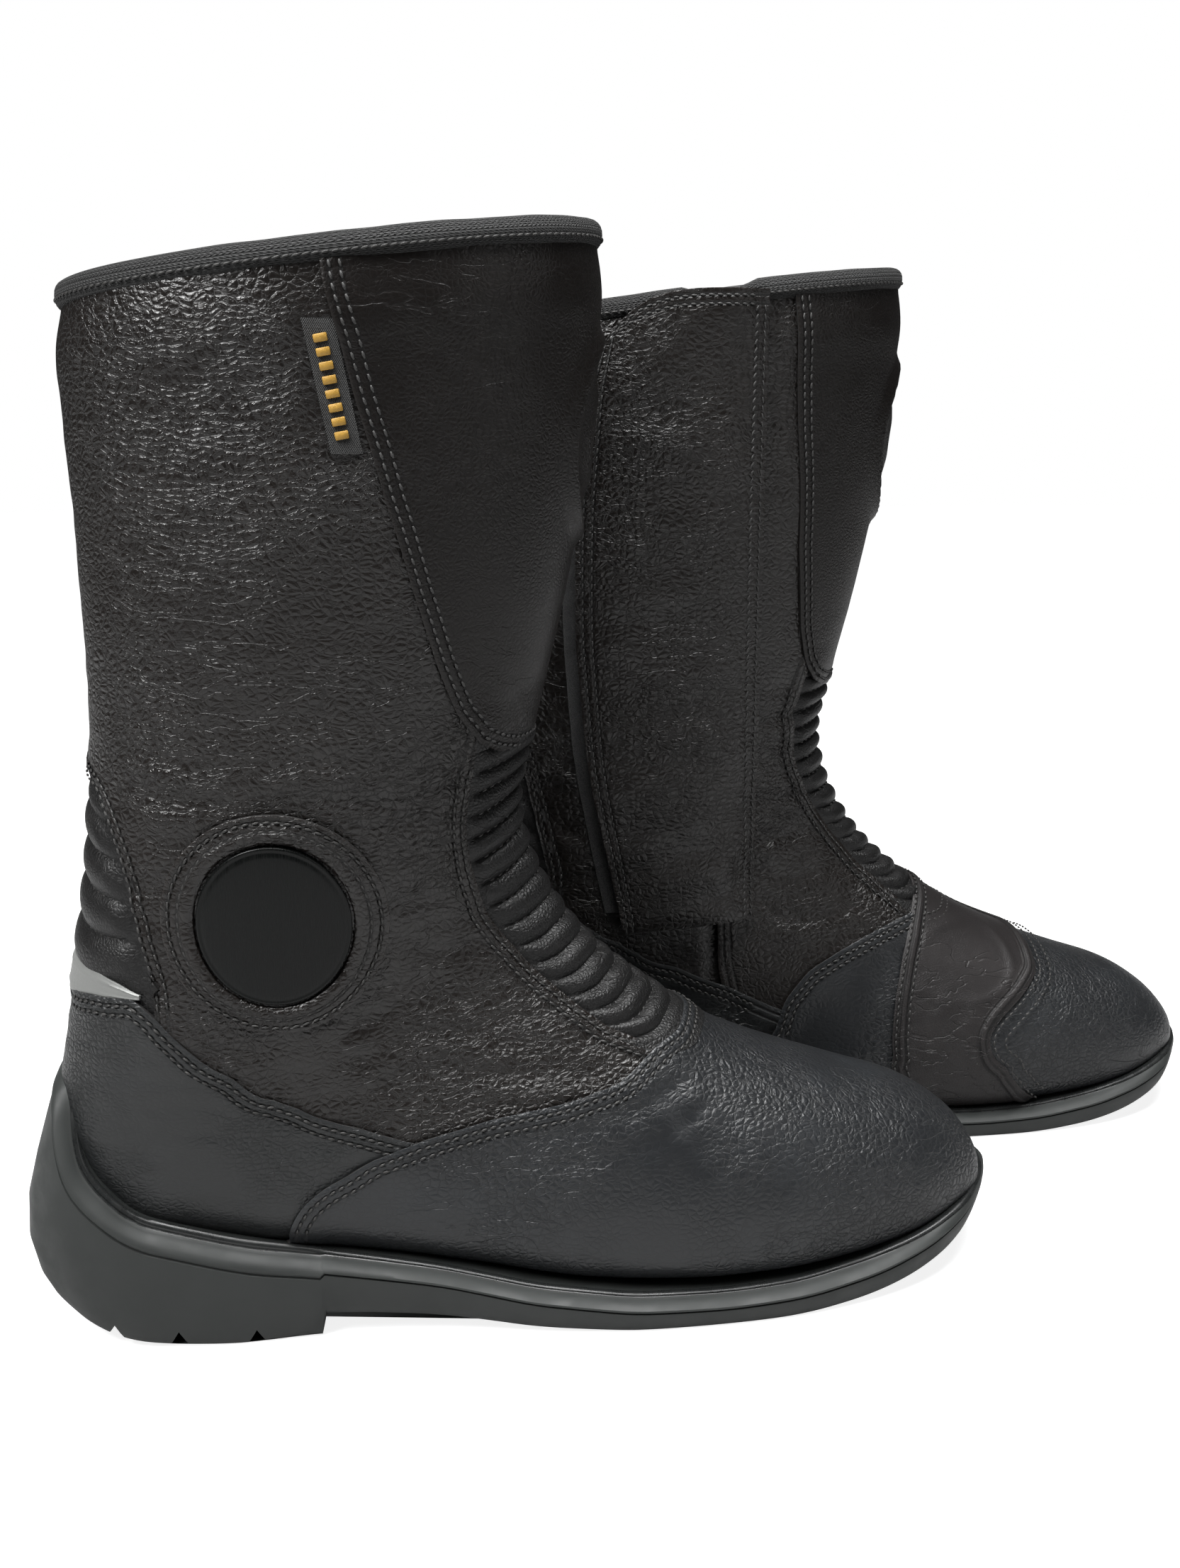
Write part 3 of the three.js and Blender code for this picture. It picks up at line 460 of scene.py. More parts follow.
def make_grain():
    """Pebbled leather grain: rounded cells with narrow valleys, finer ones between, and calmer areas."""
    g, gin, gout = new_group(
        "leather_grain",
        [
            ("Vector", "Vector", None), ("Cells per metre", "Float", 430.0), ("Flow", "Float", 1.5),
            ("Calm", "Float", 0.45),
        ],
        [("Height", "Float"), ("Valley", "Float")],
    )
    warp = node(g, "TexNoise", {"Vector": gin.outputs["Vector"], "Scale": 130.0, "Detail": 1.0})
    away = node(g, "VectorMath", {0: warp.outputs["Color"], 1: (0.5, 0.5, 0.5)}, operation="SUBTRACT")
    push = node(g, "VectorMath", {0: away.outputs[0], 3: 0.004}, operation="SCALE")
    moved = node(g, "VectorMath", {0: gin.outputs["Vector"], 1: push.outputs[0]}, operation="ADD")
    flow = node(g, "CombineXYZ", {0: 1.0, 1: 1.0, 2: gin.outputs["Flow"]})
    long = node(g, "VectorMath", {0: moved.outputs[0], 1: flow.outputs[0]}, operation="MULTIPLY")
    cells = node(
        g, "TexVoronoi", {"Vector": long.outputs[0], "Scale": gin.outputs["Cells per metre"], "Randomness": 0.85},
        feature="DISTANCE_TO_EDGE",
    )
    dome = ranged(g, cells.outputs["Distance"], 0.0, 0.42)
    line = ranged(g, cells.outputs["Distance"], 0.0, 0.1, 1.0, 0.0)
    finer = node(
        g, "TexVoronoi",
        {"Vector": long.outputs[0], "Scale": sum_of(g, gin.outputs["Cells per metre"], 2.2, "MULTIPLY")},
        feature="DISTANCE_TO_EDGE",
    )
    small = ranged(g, finer.outputs["Distance"], 0.0, 0.2)
    calm = node(g, "TexNoise", {"Vector": gin.outputs["Vector"], "Scale": 21.0, "Detail": 2.0})
    strong = node(
        g, "MapRange", {0: calm.outputs["Fac"], 1: 0.36, 2: 0.62, 3: gin.outputs["Calm"], 4: 1.0},
        interpolation_type="SMOOTHSTEP",
    ).outputs[0]
    height = sum_of(g, sum_of(g, dome, 0.75, "MULTIPLY"), sum_of(g, small, 0.16, "MULTIPLY"))
    height = sum_of(g, height, sum_of(g, line, 0.2, "MULTIPLY"), "SUBTRACT")
    g.links.new(sum_of(g, height, strong, "MULTIPLY"), gout.inputs["Height"])
    # Valley marks the narrow valleys; the leather finishes use it for roughness and to paint shade into the colour.
    g.links.new(sum_of(g, line, strong, "MULTIPLY"), gout.inputs["Valley"])
    return g


def make_creases():
    """Fine wandering creases of worn leather."""
    g, gin, gout = new_group(
        "worn_creases",
        [("Vector", "Vector", None), ("Scale", "Float", 60.0), ("Flow", "Float", 2.5)],
        [("Height", "Float"), ("Line", "Float")],
    )
    flow = node(g, "CombineXYZ", {0: 1.0, 1: 1.0, 2: gin.outputs["Flow"]})
    long = node(g, "VectorMath", {0: gin.outputs["Vector"], 1: flow.outputs[0]}, operation="MULTIPLY")
    n = node(
        g, "TexNoise",
        {
            "Vector": long.outputs[0], "Scale": gin.outputs["Scale"], "Detail": 2.5, "Roughness": 0.5,
            "Distortion": 0.5,
        },
    )
    off = sum_of(g, sum_of(g, n.outputs["Fac"], 0.5, "SUBTRACT"), 0.0, "ADD")
    line = ranged(g, sum_of(g, off, 0.0, "ABSOLUTE"), 0.0, 0.022, 1.0, 0.0)
    where = node(g, "TexNoise", {"Vector": gin.outputs["Vector"], "Scale": 18.0, "Detail": 1.0})
    line = sum_of(g, line, ranged(g, where.outputs["Fac"], 0.45, 0.62), "MULTIPLY")
    g.links.new(line, gout.inputs["Line"])
    g.links.new(
        sum_of(g, sum_of(g, n.outputs["Fac"], 0.5, "MULTIPLY"), sum_of(g, line, 0.5, "MULTIPLY"), "SUBTRACT"),
        gout.inputs["Height"],
    )
    return g


def make_dust():
    """Sparse lint specks and pale rubbed patches."""
    g, gin, gout = new_group(
        "dust_and_lint",
        [("Vector", "Vector", None), ("Amount", "Float", 0.5)],
        [("Specks", "Float"), ("Rubbed", "Float")],
    )
    v = node(g, "TexVoronoi", {"Vector": gin.outputs["Vector"], "Scale": 210.0, "Randomness": 1.0})
    speck = ranged(g, v.outputs["Distance"], 0.035, 0.06, 1.0, 0.0)
    rare = node(g, "TexWhiteNoise", {"Vector": v.outputs["Color"]})
    chosen = ranged(g, rare.outputs["Value"], 0.9, 0.93)
    g.links.new(
        sum_of(g, sum_of(g, speck, chosen, "MULTIPLY"), gin.outputs["Amount"], "MULTIPLY"), gout.inputs["Specks"],
    )
    n = node(g, "TexNoise", {"Vector": gin.outputs["Vector"], "Scale": 34.0, "Detail": 6.0, "Roughness": 0.65})
    g.links.new(
        sum_of(g, ranged(g, n.outputs["Fac"], 0.48, 0.72), gin.outputs["Amount"], "MULTIPLY"), gout.inputs["Rubbed"],
    )
    return g


def make_weave():
    """A twill weave on a piece's own UV map, in threads."""
    g, gin, gout = new_group(
        "twill_weave",
        [("UV", "Vector", None), ("Threads", "Float", 1.0)],
        [("Height", "Float"), ("Gap shade", "Float")],
    )
    scaled = node(g, "VectorMath", {0: gin.outputs["UV"], 3: gin.outputs["Threads"]}, operation="SCALE")
    parts = node(g, "SeparateXYZ", {0: scaled.outputs[0]})
    diagonal = sum_of(g, parts.outputs[0], parts.outputs[1])
    ridge = sum_of(g, sum_of(g, diagonal, math.pi, "MULTIPLY"), 0.0, "SINE")
    ridge = sum_of(g, ridge, 0.0, "ABSOLUTE")
    thread = sum_of(g, sum_of(g, sum_of(g, parts.outputs[1], 2 * math.pi, "MULTIPLY"), 0.0, "SINE"), 0.0, "ABSOLUTE")
    height = sum_of(g, sum_of(g, ridge, 0.7, "MULTIPLY"), sum_of(g, thread, 0.3, "MULTIPLY"))
    g.links.new(height, gout.inputs["Height"])
    # Gap marks the low places between the threads, for painted shade.
    g.links.new(ranged(g, height, 0.15, 0.5, 1.0, 0.0), gout.inputs["Gap shade"])
    return g


def make_knit():
    """Rows of knitted loops on a piece's own UV map, in loops."""
    g, gin, gout = new_group(
        "knitted_loops",
        [("UV", "Vector", None), ("Loops", "Float", 1.0)],
        [("Height", "Float"), ("Gap shade", "Float")],
    )
    scaled = node(g, "VectorMath", {0: gin.outputs["UV"], 3: gin.outputs["Loops"]}, operation="SCALE")
    wander = node(g, "TexNoise", {"Vector": scaled.outputs[0], "Scale": 0.9, "Detail": 2.0})
    parts = node(g, "SeparateXYZ", {0: scaled.outputs[0]})
    row = sum_of(g, sum_of(g, parts.outputs[1], 1.0, "FRACT"), 0.5, "SUBTRACT")
    slant = sum_of(g, sum_of(g, row, 0.0, "ABSOLUTE"), 1.5, "MULTIPLY")
    along = sum_of(g, sum_of(g, parts.outputs[0], slant), sum_of(g, wander.outputs["Fac"], 0.5, "MULTIPLY"))
    loop = sum_of(g, sum_of(g, sum_of(g, along, math.pi, "MULTIPLY"), 0.0, "SINE"), 0.0, "ABSOLUTE")
    crown = ranged(g, sum_of(g, row, 0.0, "ABSOLUTE"), 0.02, 0.2)
    edge = ranged(g, sum_of(g, row, 0.0, "ABSOLUTE"), 0.36, 0.5, 1.0, 0.0)
    height = sum_of(g, sum_of(g, loop, crown, "MULTIPLY"), edge, "MULTIPLY")
    g.links.new(height, gout.inputs["Height"])
    # Gap marks the low places between the loops, for painted shade.
    g.links.new(ranged(g, height, 0.1, 0.5, 1.0, 0.0), gout.inputs["Gap shade"])
    return g


SEWN_ROWS = (2.2, 5.0)  # mm from a panel's edge to its two rows of stitches


def make_edge_wear():
    """How rubbed a place is, and how deep in a sewn row, from its distance to a cut edge in mm."""
    g, gin, gout = new_group(
        "edge_wear",
        [("Vector", "Vector", None), ("Distance", "Float", 99.0), ("Width", "Float", 1.0)],
        [("Wear", "Float"), ("Sewn", "Float")],
    )
    n = node(g, "TexNoise", {"Vector": gin.outputs["Vector"], "Scale": 240.0, "Detail": 4.0})
    reach = sum_of(g, gin.outputs["Width"], sum_of(g, n.outputs["Fac"], 1.6, "MULTIPLY"), "MULTIPLY")
    ratio = sum_of(g, gin.outputs["Distance"], reach, "DIVIDE")
    g.links.new(ranged(g, ratio, 0.2, 1.0, 1.0, 0.0), gout.inputs["Wear"])
    rows = []
    for at in SEWN_ROWS:
        away = sum_of(g, sum_of(g, gin.outputs["Distance"], at, "SUBTRACT"), 0.0, "ABSOLUTE")
        rows.append(ranged(g, away, 0.1, 0.8, 1.0, 0.0))
    # Sewn marks the sunken stitch rows; the leather finishes use it to sink and dull them and to paint shade into
    # their colour.
    g.links.new(sum_of(g, *rows), gout.inputs["Sewn"])
    return g


GRAIN, CREASES, DUST = make_grain(), make_creases(), make_dust()
WEAVE, KNIT, WEAR = make_weave(), make_knit(), make_edge_wear()


def blank(name, **sockets):
    """An empty material with its shader, and constants set on the shader's own sockets."""
    material = bpy.data.materials.new(name)
    material.use_nodes = True
    tree = material.node_tree
    tree.nodes.clear()
    shader = tree.nodes.new("ShaderNodeBsdfPrincipled")
    out = tree.nodes.new("ShaderNodeOutputMaterial")
    tree.links.new(shader.outputs[0], out.inputs[0])
    for key, value in sockets.items():
        shader.inputs[key.replace("_", " ")].default_value = value
    return material, tree, shader


def placed(tree, group, values):
    made = tree.nodes.new("ShaderNodeGroup")
    made.node_tree = group
    for key, value in values.items():
        if isinstance(value, bpy.types.NodeSocket):
            tree.links.new(value, made.inputs[key])
        else:
            made.inputs[key].default_value = value
    return made


def bumped(tree, shader, height, distance, strength=1.0, under=None):
    """A bump on the shader's normal, on top of another one where there is one."""
    bump = node(tree, "Bump", {"Height": height, "Distance": distance, "Strength": strength})
    if under:
        tree.links.new(under, bump.inputs["Normal"])
    tree.links.new(bump.outputs[0], shader.inputs["Normal"])
    return bump.outputs[0]


def leather_finish(
    name, colour, worn, rough=(0.38, 0.62), cells=430.0, flow=1.5, depth=0.0005, creases=0.0004, dust=0.35,
    crease_scale=60.0, calm=0.45, **sockets,
):
    """Black leather: grain and creases in the bump, painted shade in the grain's valleys and sewn rows, rubbed edges
    and a little dust.
    """
    m, tree, shader = blank(name, **sockets)
    where = node(tree, "TexCoord").outputs["Object"]
    grain = placed(tree, GRAIN, {"Vector": where, "Cells per metre": cells, "Flow": flow, "Calm": calm})
    lines = placed(tree, CREASES, {"Vector": where, "Scale": crease_scale})
    dusty = placed(tree, DUST, {"Vector": where, "Amount": dust})
    edge = node(tree, "Attribute", attribute_name="edge")
    wear = placed(tree, WEAR, {"Vector": where, "Distance": edge.outputs["Fac"]})
    # Painted shade colour: a third of the leather's own colour, for the grain's valleys and the sewn rows.
    painted_shade = tuple(c * 0.3 for c in colour[:3]) + (1,)
    base = blended(tree, sum_of(tree, dusty.outputs["Rubbed"], 0.5, "MULTIPLY"), colour, worn)
    base = blended(tree, sum_of(tree, wear.outputs["Wear"], 0.4, "MULTIPLY"), base, worn)
    # Painted shade in the grain's valleys.
    base = blended(tree, sum_of(tree, grain.outputs["Valley"], 0.6, "MULTIPLY"), base, painted_shade)
    # Painted shade along the sunken sewn rows.
    base = blended(tree, sum_of(tree, wear.outputs["Sewn"], 0.8, "MULTIPLY"), base, painted_shade)
    base = blended(tree, dusty.outputs["Specks"], base, (0.14, 0.14, 0.135, 1))
    tree.links.new(base, shader.inputs["Base Color"])
    dull = sum_of(
        tree, sum_of(tree, grain.outputs["Valley"], wear.outputs["Sewn"]),
        sum_of(tree, lines.outputs["Line"], 0.4, "MULTIPLY"),
    )
    tree.links.new(ranged(tree, dull, 0.0, 1.0, rough[0], rough[1]), shader.inputs["Roughness"])
    under = bumped(
        tree, shader,
        sum_of(tree, lines.outputs["Height"], sum_of(tree, wear.outputs["Sewn"], 0.8, "MULTIPLY"), "SUBTRACT"),
        creases,
    )
    bumped(tree, shader, grain.outputs["Height"], depth, under=under)
    return m


def simple_finish(name, colour, second, rough, noise=400.0, depth=0.00008, mix=0.5, **sockets):
    """A plain finish with a fine mottle in colour, gloss and surface."""
    m, tree, shader = blank(name, **sockets)
    where = node(tree, "TexCoord").outputs["Object"]
    n = node(tree, "TexNoise", {"Vector": where, "Scale": noise, "Detail": 5.0, "Roughness": 0.6})
    tree.links.new(
        blended(tree, sum_of(tree, n.outputs["Fac"], mix, "MULTIPLY"), colour, second), shader.inputs["Base Color"],
    )
    tree.links.new(ranged(tree, n.outputs["Fac"], 0.3, 0.7, rough[0], rough[1]), shader.inputs["Roughness"])
    bumped(tree, shader, n.outputs["Fac"], depth)
    return m


def cloth_finish(name, group, per_mm, colour, gap, depth=0.0003, rough=0.85, sheen=0.15):
    m, tree, shader = blank(name, Roughness=rough, Sheen_Weight=sheen)
    uv = node(tree, "UVMap").outputs[0]
    made = placed(tree, group, {"UV": uv, ("Threads" if group == WEAVE else "Loops"): per_mm})
    # Painted shade: the gaps between threads or loops are mixed towards the darker gap colour.
    tree.links.new(blended(tree, made.outputs["Gap shade"], colour, gap), shader.inputs["Base Color"])
    bumped(tree, shader, made.outputs["Height"], depth)
    return m


SHAFT_LEATHER = leather_finish(
    "shaft_leather", (0.0074, 0.0058, 0.005, 1), (0.022, 0.0175, 0.0155, 1), rough=(0.29, 0.6), cells=375.0, flow=1.4,
    depth=0.00034, creases=0.0003, Specular_IOR_Level=0.5,
)
SMOOTH_LEATHER = leather_finish(
    "smooth_leather", (0.0066, 0.0052, 0.0046, 1), (0.018, 0.015, 0.0135, 1), rough=(0.34, 0.58), cells=620.0,
    flow=1.2, depth=0.00012, creases=0.00012, dust=0.25, Specular_IOR_Level=0.33,
)
VAMP_LEATHER = leather_finish(
    "vamp_leather", (0.0128, 0.0138, 0.0152, 1), (0.028, 0.032, 0.036, 1), rough=(0.34, 0.66), cells=400.0, flow=1.3,
    depth=0.00026, creases=0.00025, dust=0.45, calm=0.25, Specular_IOR_Level=0.48,
)
HEEL_LEATHER = leather_finish(
    "heel_leather", (0.014, 0.015, 0.0154, 1), (0.03, 0.032, 0.034, 1), rough=(0.34, 0.62), cells=440.0,
    depth=0.00028, creases=0.0006, dust=0.4, crease_scale=46.0, calm=0.2, Specular_IOR_Level=0.46,
)
RIB_LEATHER = leather_finish(
    "rib_leather", (0.0058, 0.0056, 0.0056, 1), (0.017, 0.0165, 0.016, 1), rough=(0.42, 0.66), cells=760.0, flow=1.0,
    depth=0.00016, creases=0.0003, dust=0.3, Specular_IOR_Level=0.4,
)
CUT_EDGE = simple_finish(
    "cut_edge", (0.006, 0.0055, 0.0055, 1), (0.02, 0.0185, 0.017, 1), (0.75, 0.92), noise=900.0, depth=0.00015,
)
SUEDE_EDGE = simple_finish(
    "suede_edge", (0.014, 0.014, 0.014, 1), (0.065, 0.062, 0.06, 1), (0.85, 0.98), noise=1100.0, depth=0.0003,
    mix=0.8,
)
THREAD = simple_finish(
    "thread", (0.006, 0.006, 0.006, 1), (0.11, 0.106, 0.1, 1), (0.4, 0.6), noise=420.0, depth=0.00005, mix=0.45,
)
GREY_THREAD = simple_finish(
    "grey_thread", (0.014, 0.014, 0.0145, 1), (0.12, 0.117, 0.112, 1), (0.45, 0.65), noise=500.0, depth=0.00005,
    mix=0.5,
)
RUBBER = simple_finish(
    "sole_rubber", (0.02, 0.0222, 0.0214, 1), (0.038, 0.0415, 0.0398, 1), (0.46, 0.64), noise=90.0, depth=0.00006,
    Specular_IOR_Level=0.4,
)
BEAD = simple_finish(
    "sole_bead", (0.011, 0.012, 0.012, 1), (0.022, 0.023, 0.023, 1), (0.22, 0.36), noise=200.0, depth=0.00003,
)
BOARD = simple_finish("board", (0.25, 0.2, 0.13, 1), (0.14, 0.11, 0.07, 1), (0.8, 0.95), noise=300.0, depth=0.0002)
FOAM = simple_finish(
    "foam", (0.05, 0.052, 0.058, 1), (0.03, 0.031, 0.034, 1), (0.85, 0.97), noise=900.0, depth=0.0002,
)
STEEL = simple_finish(
    "shank_steel", (0.5, 0.5, 0.5, 1), (0.35, 0.35, 0.36, 1), (0.25, 0.4), noise=200.0, depth=0.00003, Metallic=1.0,
)
GUNMETAL = simple_finish(
    "gunmetal", (0.07, 0.072, 0.076, 1), (0.12, 0.12, 0.12, 1), (0.28, 0.45), noise=300.0, depth=0.00003,
    Metallic=1.0,
)
STIFFENER = simple_finish("stiffener", (0.012, 0.014, 0.014, 1), (0.03, 0.03, 0.03, 1), (0.35, 0.5), noise=80.0)
COIL = simple_finish(
    "zip_coil", (0.015, 0.015, 0.016, 1), (0.035, 0.035, 0.036, 1), (0.4, 0.55), noise=600.0, depth=0.00004,
)
GOLD_THREAD = simple_finish(
    "gold_thread", (0.4, 0.22, 0.03, 1), (0.56, 0.33, 0.06, 1), (0.4, 0.6), noise=700.0, depth=0.0002,
)
REFLECTIVE = simple_finish(
    "reflective", (0.2, 0.205, 0.198, 1), (0.3, 0.305, 0.295, 1), (0.38, 0.55), noise=1500.0, depth=0.00005,
    Metallic=0.3,
)
PATCH_LEATHER = leather_finish(
    "patch_leather", (0.0165, 0.0145, 0.0145, 1), (0.045, 0.041, 0.04, 1), rough=(0.42, 0.62), cells=1000.0,
    depth=0.00008, creases=0.0004, dust=0.5, Specular_IOR_Level=0.36,
)
# The second colour of each cloth finish is painted shade for the gaps in its weave or knit.
BINDING_KNIT = cloth_finish(
    "binding_knit", KNIT, 0.72, (0.009, 0.0093, 0.009, 1), (0.002, 0.002, 0.002, 1), depth=0.0009, rough=0.7,
    sheen=0.05,
)
LINING_KNIT = cloth_finish("lining_knit", KNIT, 0.6, (0.04, 0.041, 0.044, 1), (0.012, 0.012, 0.013, 1), depth=0.0004)
LABEL_TWILL = cloth_finish(
    "label_twill", WEAVE, 1.6, (0.008, 0.0078, 0.0075, 1), (0.004, 0.004, 0.004, 1), depth=0.0003, sheen=0.0,
    rough=0.6,
)
TAPE_TWILL = cloth_finish("tape_twill", WEAVE, 1.1, (0.02, 0.02, 0.021, 1), (0.006, 0.006, 0.006, 1), depth=0.0003)


def fuzzy_finish(name, colour):
    m, tree, shader = blank(name, Roughness=0.95, Sheen_Weight=0.4)
    where = node(tree, "TexCoord").outputs["Object"]
    a = node(
        tree, "TexNoise", {"Vector": where, "Scale": 1500.0, "Detail": 5.0, "Roughness": 0.75, "Distortion": 1.5},
    )
    tree.links.new(blended(tree, a.outputs["Fac"], (0.004, 0.004, 0.004, 1), colour), shader.inputs["Base Color"])
    bumped(tree, shader, a.outputs["Fac"], 0.0009)
    return m


LOOP_PILE = fuzzy_finish("loop_pile", (0.05, 0.05, 0.052, 1))
HOOK_PILE = fuzzy_finish("hook_pile", (0.035, 0.035, 0.036, 1))


def brushed_plastic():
    """Glossy black plastic with fine brushed lines that run steeply across it."""
    m, tree, shader = blank("guard_plastic", Specular_IOR_Level=0.2)
    where = node(tree, "TexCoord").outputs["Object"]
    turn = node(
        tree, "Mapping", {"Vector": where, "Rotation": (0, math.radians(14), 0), "Scale": (2600.0, 60.0, 22.0)},
    )
    n = node(tree, "TexNoise", {"Vector": turn.outputs[0], "Scale": 1.0, "Detail": 4.0, "Roughness": 0.7})
    tree.links.new(
        blended(tree, n.outputs["Fac"], (0.0006, 0.0008, 0.0008, 1), (0.007, 0.0077, 0.0074, 1)),
        shader.inputs["Base Color"],
    )
    tree.links.new(ranged(tree, n.outputs["Fac"], 0.3, 0.7, 0.2, 0.36), shader.inputs["Roughness"])
    bumped(tree, shader, n.outputs["Fac"], 0.00003, 0.6)
    return m


GUARD_PLASTIC = brushed_plastic()

# ---------------------------------------------------------------- seams and edges of the panels
SHIN_OUT = on_side(
    [(96.4, 312), (97, 306), (104, 278), (111, 252), (118, 227), (124, 207), (130, 191), (136, 182.5)], OUTER,
)
SHIN_IN = on_side([(124.5, 315), (128, 270), (131, 230), (134, 200), (137, 187), (141, 181)], INNER)
SHIN_OUT[0, 0] = SHIN_IN[0, 0] = COLLAR
INSTEP_OUT = on_side(
    [(137.5, 184), (133, 163), (133.5, 146), (138, 130), (148, 115), (161, 101), (176, 89), (188, 83.5)], OUTER,
)
INSTEP_IN = on_side(
    [(139, 186), (134, 169), (135.5, 153), (140, 141), (149, 127), (160, 113), (173, 99), (186, 87.5)], INNER,
)
VAMP_OUT = on_side(
    [
        (77, 30), (77, 35), (81, 43), (88, 49), (103, 57), (118, 62), (139, 67), (161, 70), (178, 74), (191, 82),
        (199, 83.5),
    ],
    OUTER,
)
VAMP_IN = on_side([(129, 20), (129, 47), (132, 57), (142, 68), (156, 75), (172, 81), (188, 85), (199, 84.5)], INNER)
HEEL_OUT = on_side(
    [(12.5, 107.2), (24, 109), (36, 110), (42, 105), (48, 98), (63, 86), (81, 75), (101, 66), (122, 59)], OUTER,
)
HEEL_IN = on_side(
    [(12.5, 107.2), (24, 109), (36, 110), (42, 105), (50, 96), (68, 84), (90, 73), (110, 64), (134, 52)], INNER,
)
REAR_OUT = on_side([(24, 171), (27, 168), (31, 160), (34, 148), (37, 132), (41, 112), (41, 101)], OUTER)
REAR_IN = on_side([(24, 171), (27, 168), (31, 160), (34, 148), (37, 132), (41, 112), (41, 101)], INNER)
INNER_REAR = on_side([(36.2, 304.5), (36, 300), (34, 250), (34, 200), (32, 172), (30.5, 163)], INNER)
INNER_REAR[0, 0] = COLLAR

shin_out, shin_in = eased(SHIN_OUT), eased(SHIN_IN)
instep_out, instep_in = eased(INSTEP_OUT), eased(INSTEP_IN)
vamp_edge = eased(VAMP_OUT, on_front(86), VAMP_IN[::-1], ease=6, count=420)
heel_edge = eased(turned(HEEL_OUT)[::-1], on_back(107), turned(HEEL_IN), ease=3, count=420)
rear_edge = eased(turned(REAR_OUT)[::-1], on_back(174.5), turned(REAR_IN), ease=4, count=420)
rear_out, rear_in = eased(REAR_OUT, ease=3), eased(REAR_IN, ease=3)
inner_rear = eased(INNER_REAR)


def at_collar(start, end, count=120):
    return np.stack([np.full(count, COLLAR), np.linspace(start, end, count)], 1)


# Creases of wear, as side-view lines with a depth and a width in mm.
CREASE_LINES = [
    (OUTER, [(40, 172), (60, 168), (84, 170), (108, 167), (130, 171)], 0.9, 2.6),
    (OUTER, [(60, 162), (84, 164.5), (106, 160), (128, 163)], 0.6, 2.0),
    (OUTER, [(44, 181), (70, 177), (96, 180), (122, 176)], 0.45, 2.2),
    (OUTER, [(96, 96), (112, 104), (128, 104), (142, 96)], 0.7, 2.6),
    (OUTER, [(100, 88), (118, 94), (138, 92), (158, 82)], 0.6, 2.4),
    (OUTER, [(104, 80), (124, 83), (146, 79), (170, 77)], 0.55, 2.4),
    (OUTER, [(90, 93), (104, 86), (114, 74)], 0.5, 2.4),
    (OUTER, [(114, 122), (124, 118), (134, 119)], 0.6, 2.2),
    (OUTER, [(112, 136), (122, 134), (132, 137)], 0.45, 2.0),
    (OUTER, [(34, 62), (48, 69), (66, 68), (84, 62)], 0.5, 2.2),
    (OUTER, [(40, 76), (56, 78), (74, 72), (92, 62)], 0.55, 2.0),
    (OUTER, [(52, 84), (66, 79), (80, 70), (94, 58)], 0.45, 1.7),
    (OUTER, [(148, 61), (166, 62), (184, 67), (198, 73)], 0.6, 2.6),
    (OUTER, [(156, 54), (172, 54), (190, 58), (206, 66)], 0.45, 2.4),
    (INNER, [(110, 172), (122, 166), (134, 168)], 0.9, 2.6),
    (INNER, [(104, 158), (118, 152), (132, 154)], 0.8, 2.4),
    (INNER, [(112, 140), (124, 134), (138, 136)], 0.9, 2.8),
    (INNER, [(116, 124), (130, 118), (146, 120)], 0.7, 2.6),
    (INNER, [(120, 108), (136, 104), (156, 106)], 0.8, 2.8),
    (INNER, [(124, 92), (144, 86), (164, 90)], 0.7, 2.6),
    (INNER, [(50, 150), (66, 144), (84, 148)], 0.8, 2.8),
    (INNER, [(46, 128), (64, 122), (86, 126)], 0.7, 2.8),
]
CREASE_LINES = [
    (eased(on_side(points, side), ease=8, count=90), depth, width) for side, points, depth, width in CREASE_LINES
]


ZIP_LINE = eased(on_side([(98, 312), (103, 98)], INNER), ease=1, count=120)


def worn_shape(p, amount=1.0):
    """How worn leather departs from the last: soft waves, stronger at the ankle, and its creases."""
    ankle = np.exp(-(((p[..., 2] - 128) / 55) ** 2)) * (p[..., 0] < 175)
    lift = (
        amount * ripple(p, 62, 3) * (0.35 + 0.5 * ankle)
        + amount * ripple(p * (1, 1, 2.1), 24, 5) * (0.07 + 0.32 * ankle)
    )
    for line, depth, width in CREASE_LINES:
        q = face(line[:, 0], line[:, 1])
        near = (np.abs(p - q.mean(0)) < np.ptp(q, axis=0) / 2 + 8).all(-1)
        if near.any():
            d = far_from(p[near], line)
            fade = 0.75 + 0.25 * ripple(p[near], 14, 9)
            lift[near] += amount * depth * fade * (0.55 * bump_at(d, 2.1 * width, 1.3 * width) - bump_at(d, 0, width))
    below = 308 + (p[..., 0] - 60) * 0.124 - p[..., 2]  # height below the binding
    lift = lift + (0.9 * np.exp(-(((below - 15) / 8) ** 2)) - 0.9 * np.exp(-((below / 5) ** 2)))
    beside_zip = p[..., 1] > 5
    if beside_zip.any():
        lift[beside_zip] *= np.clip((far_from(p[beside_zip], ZIP_LINE) - 5) / 16, 0.1, 1)
    return lift


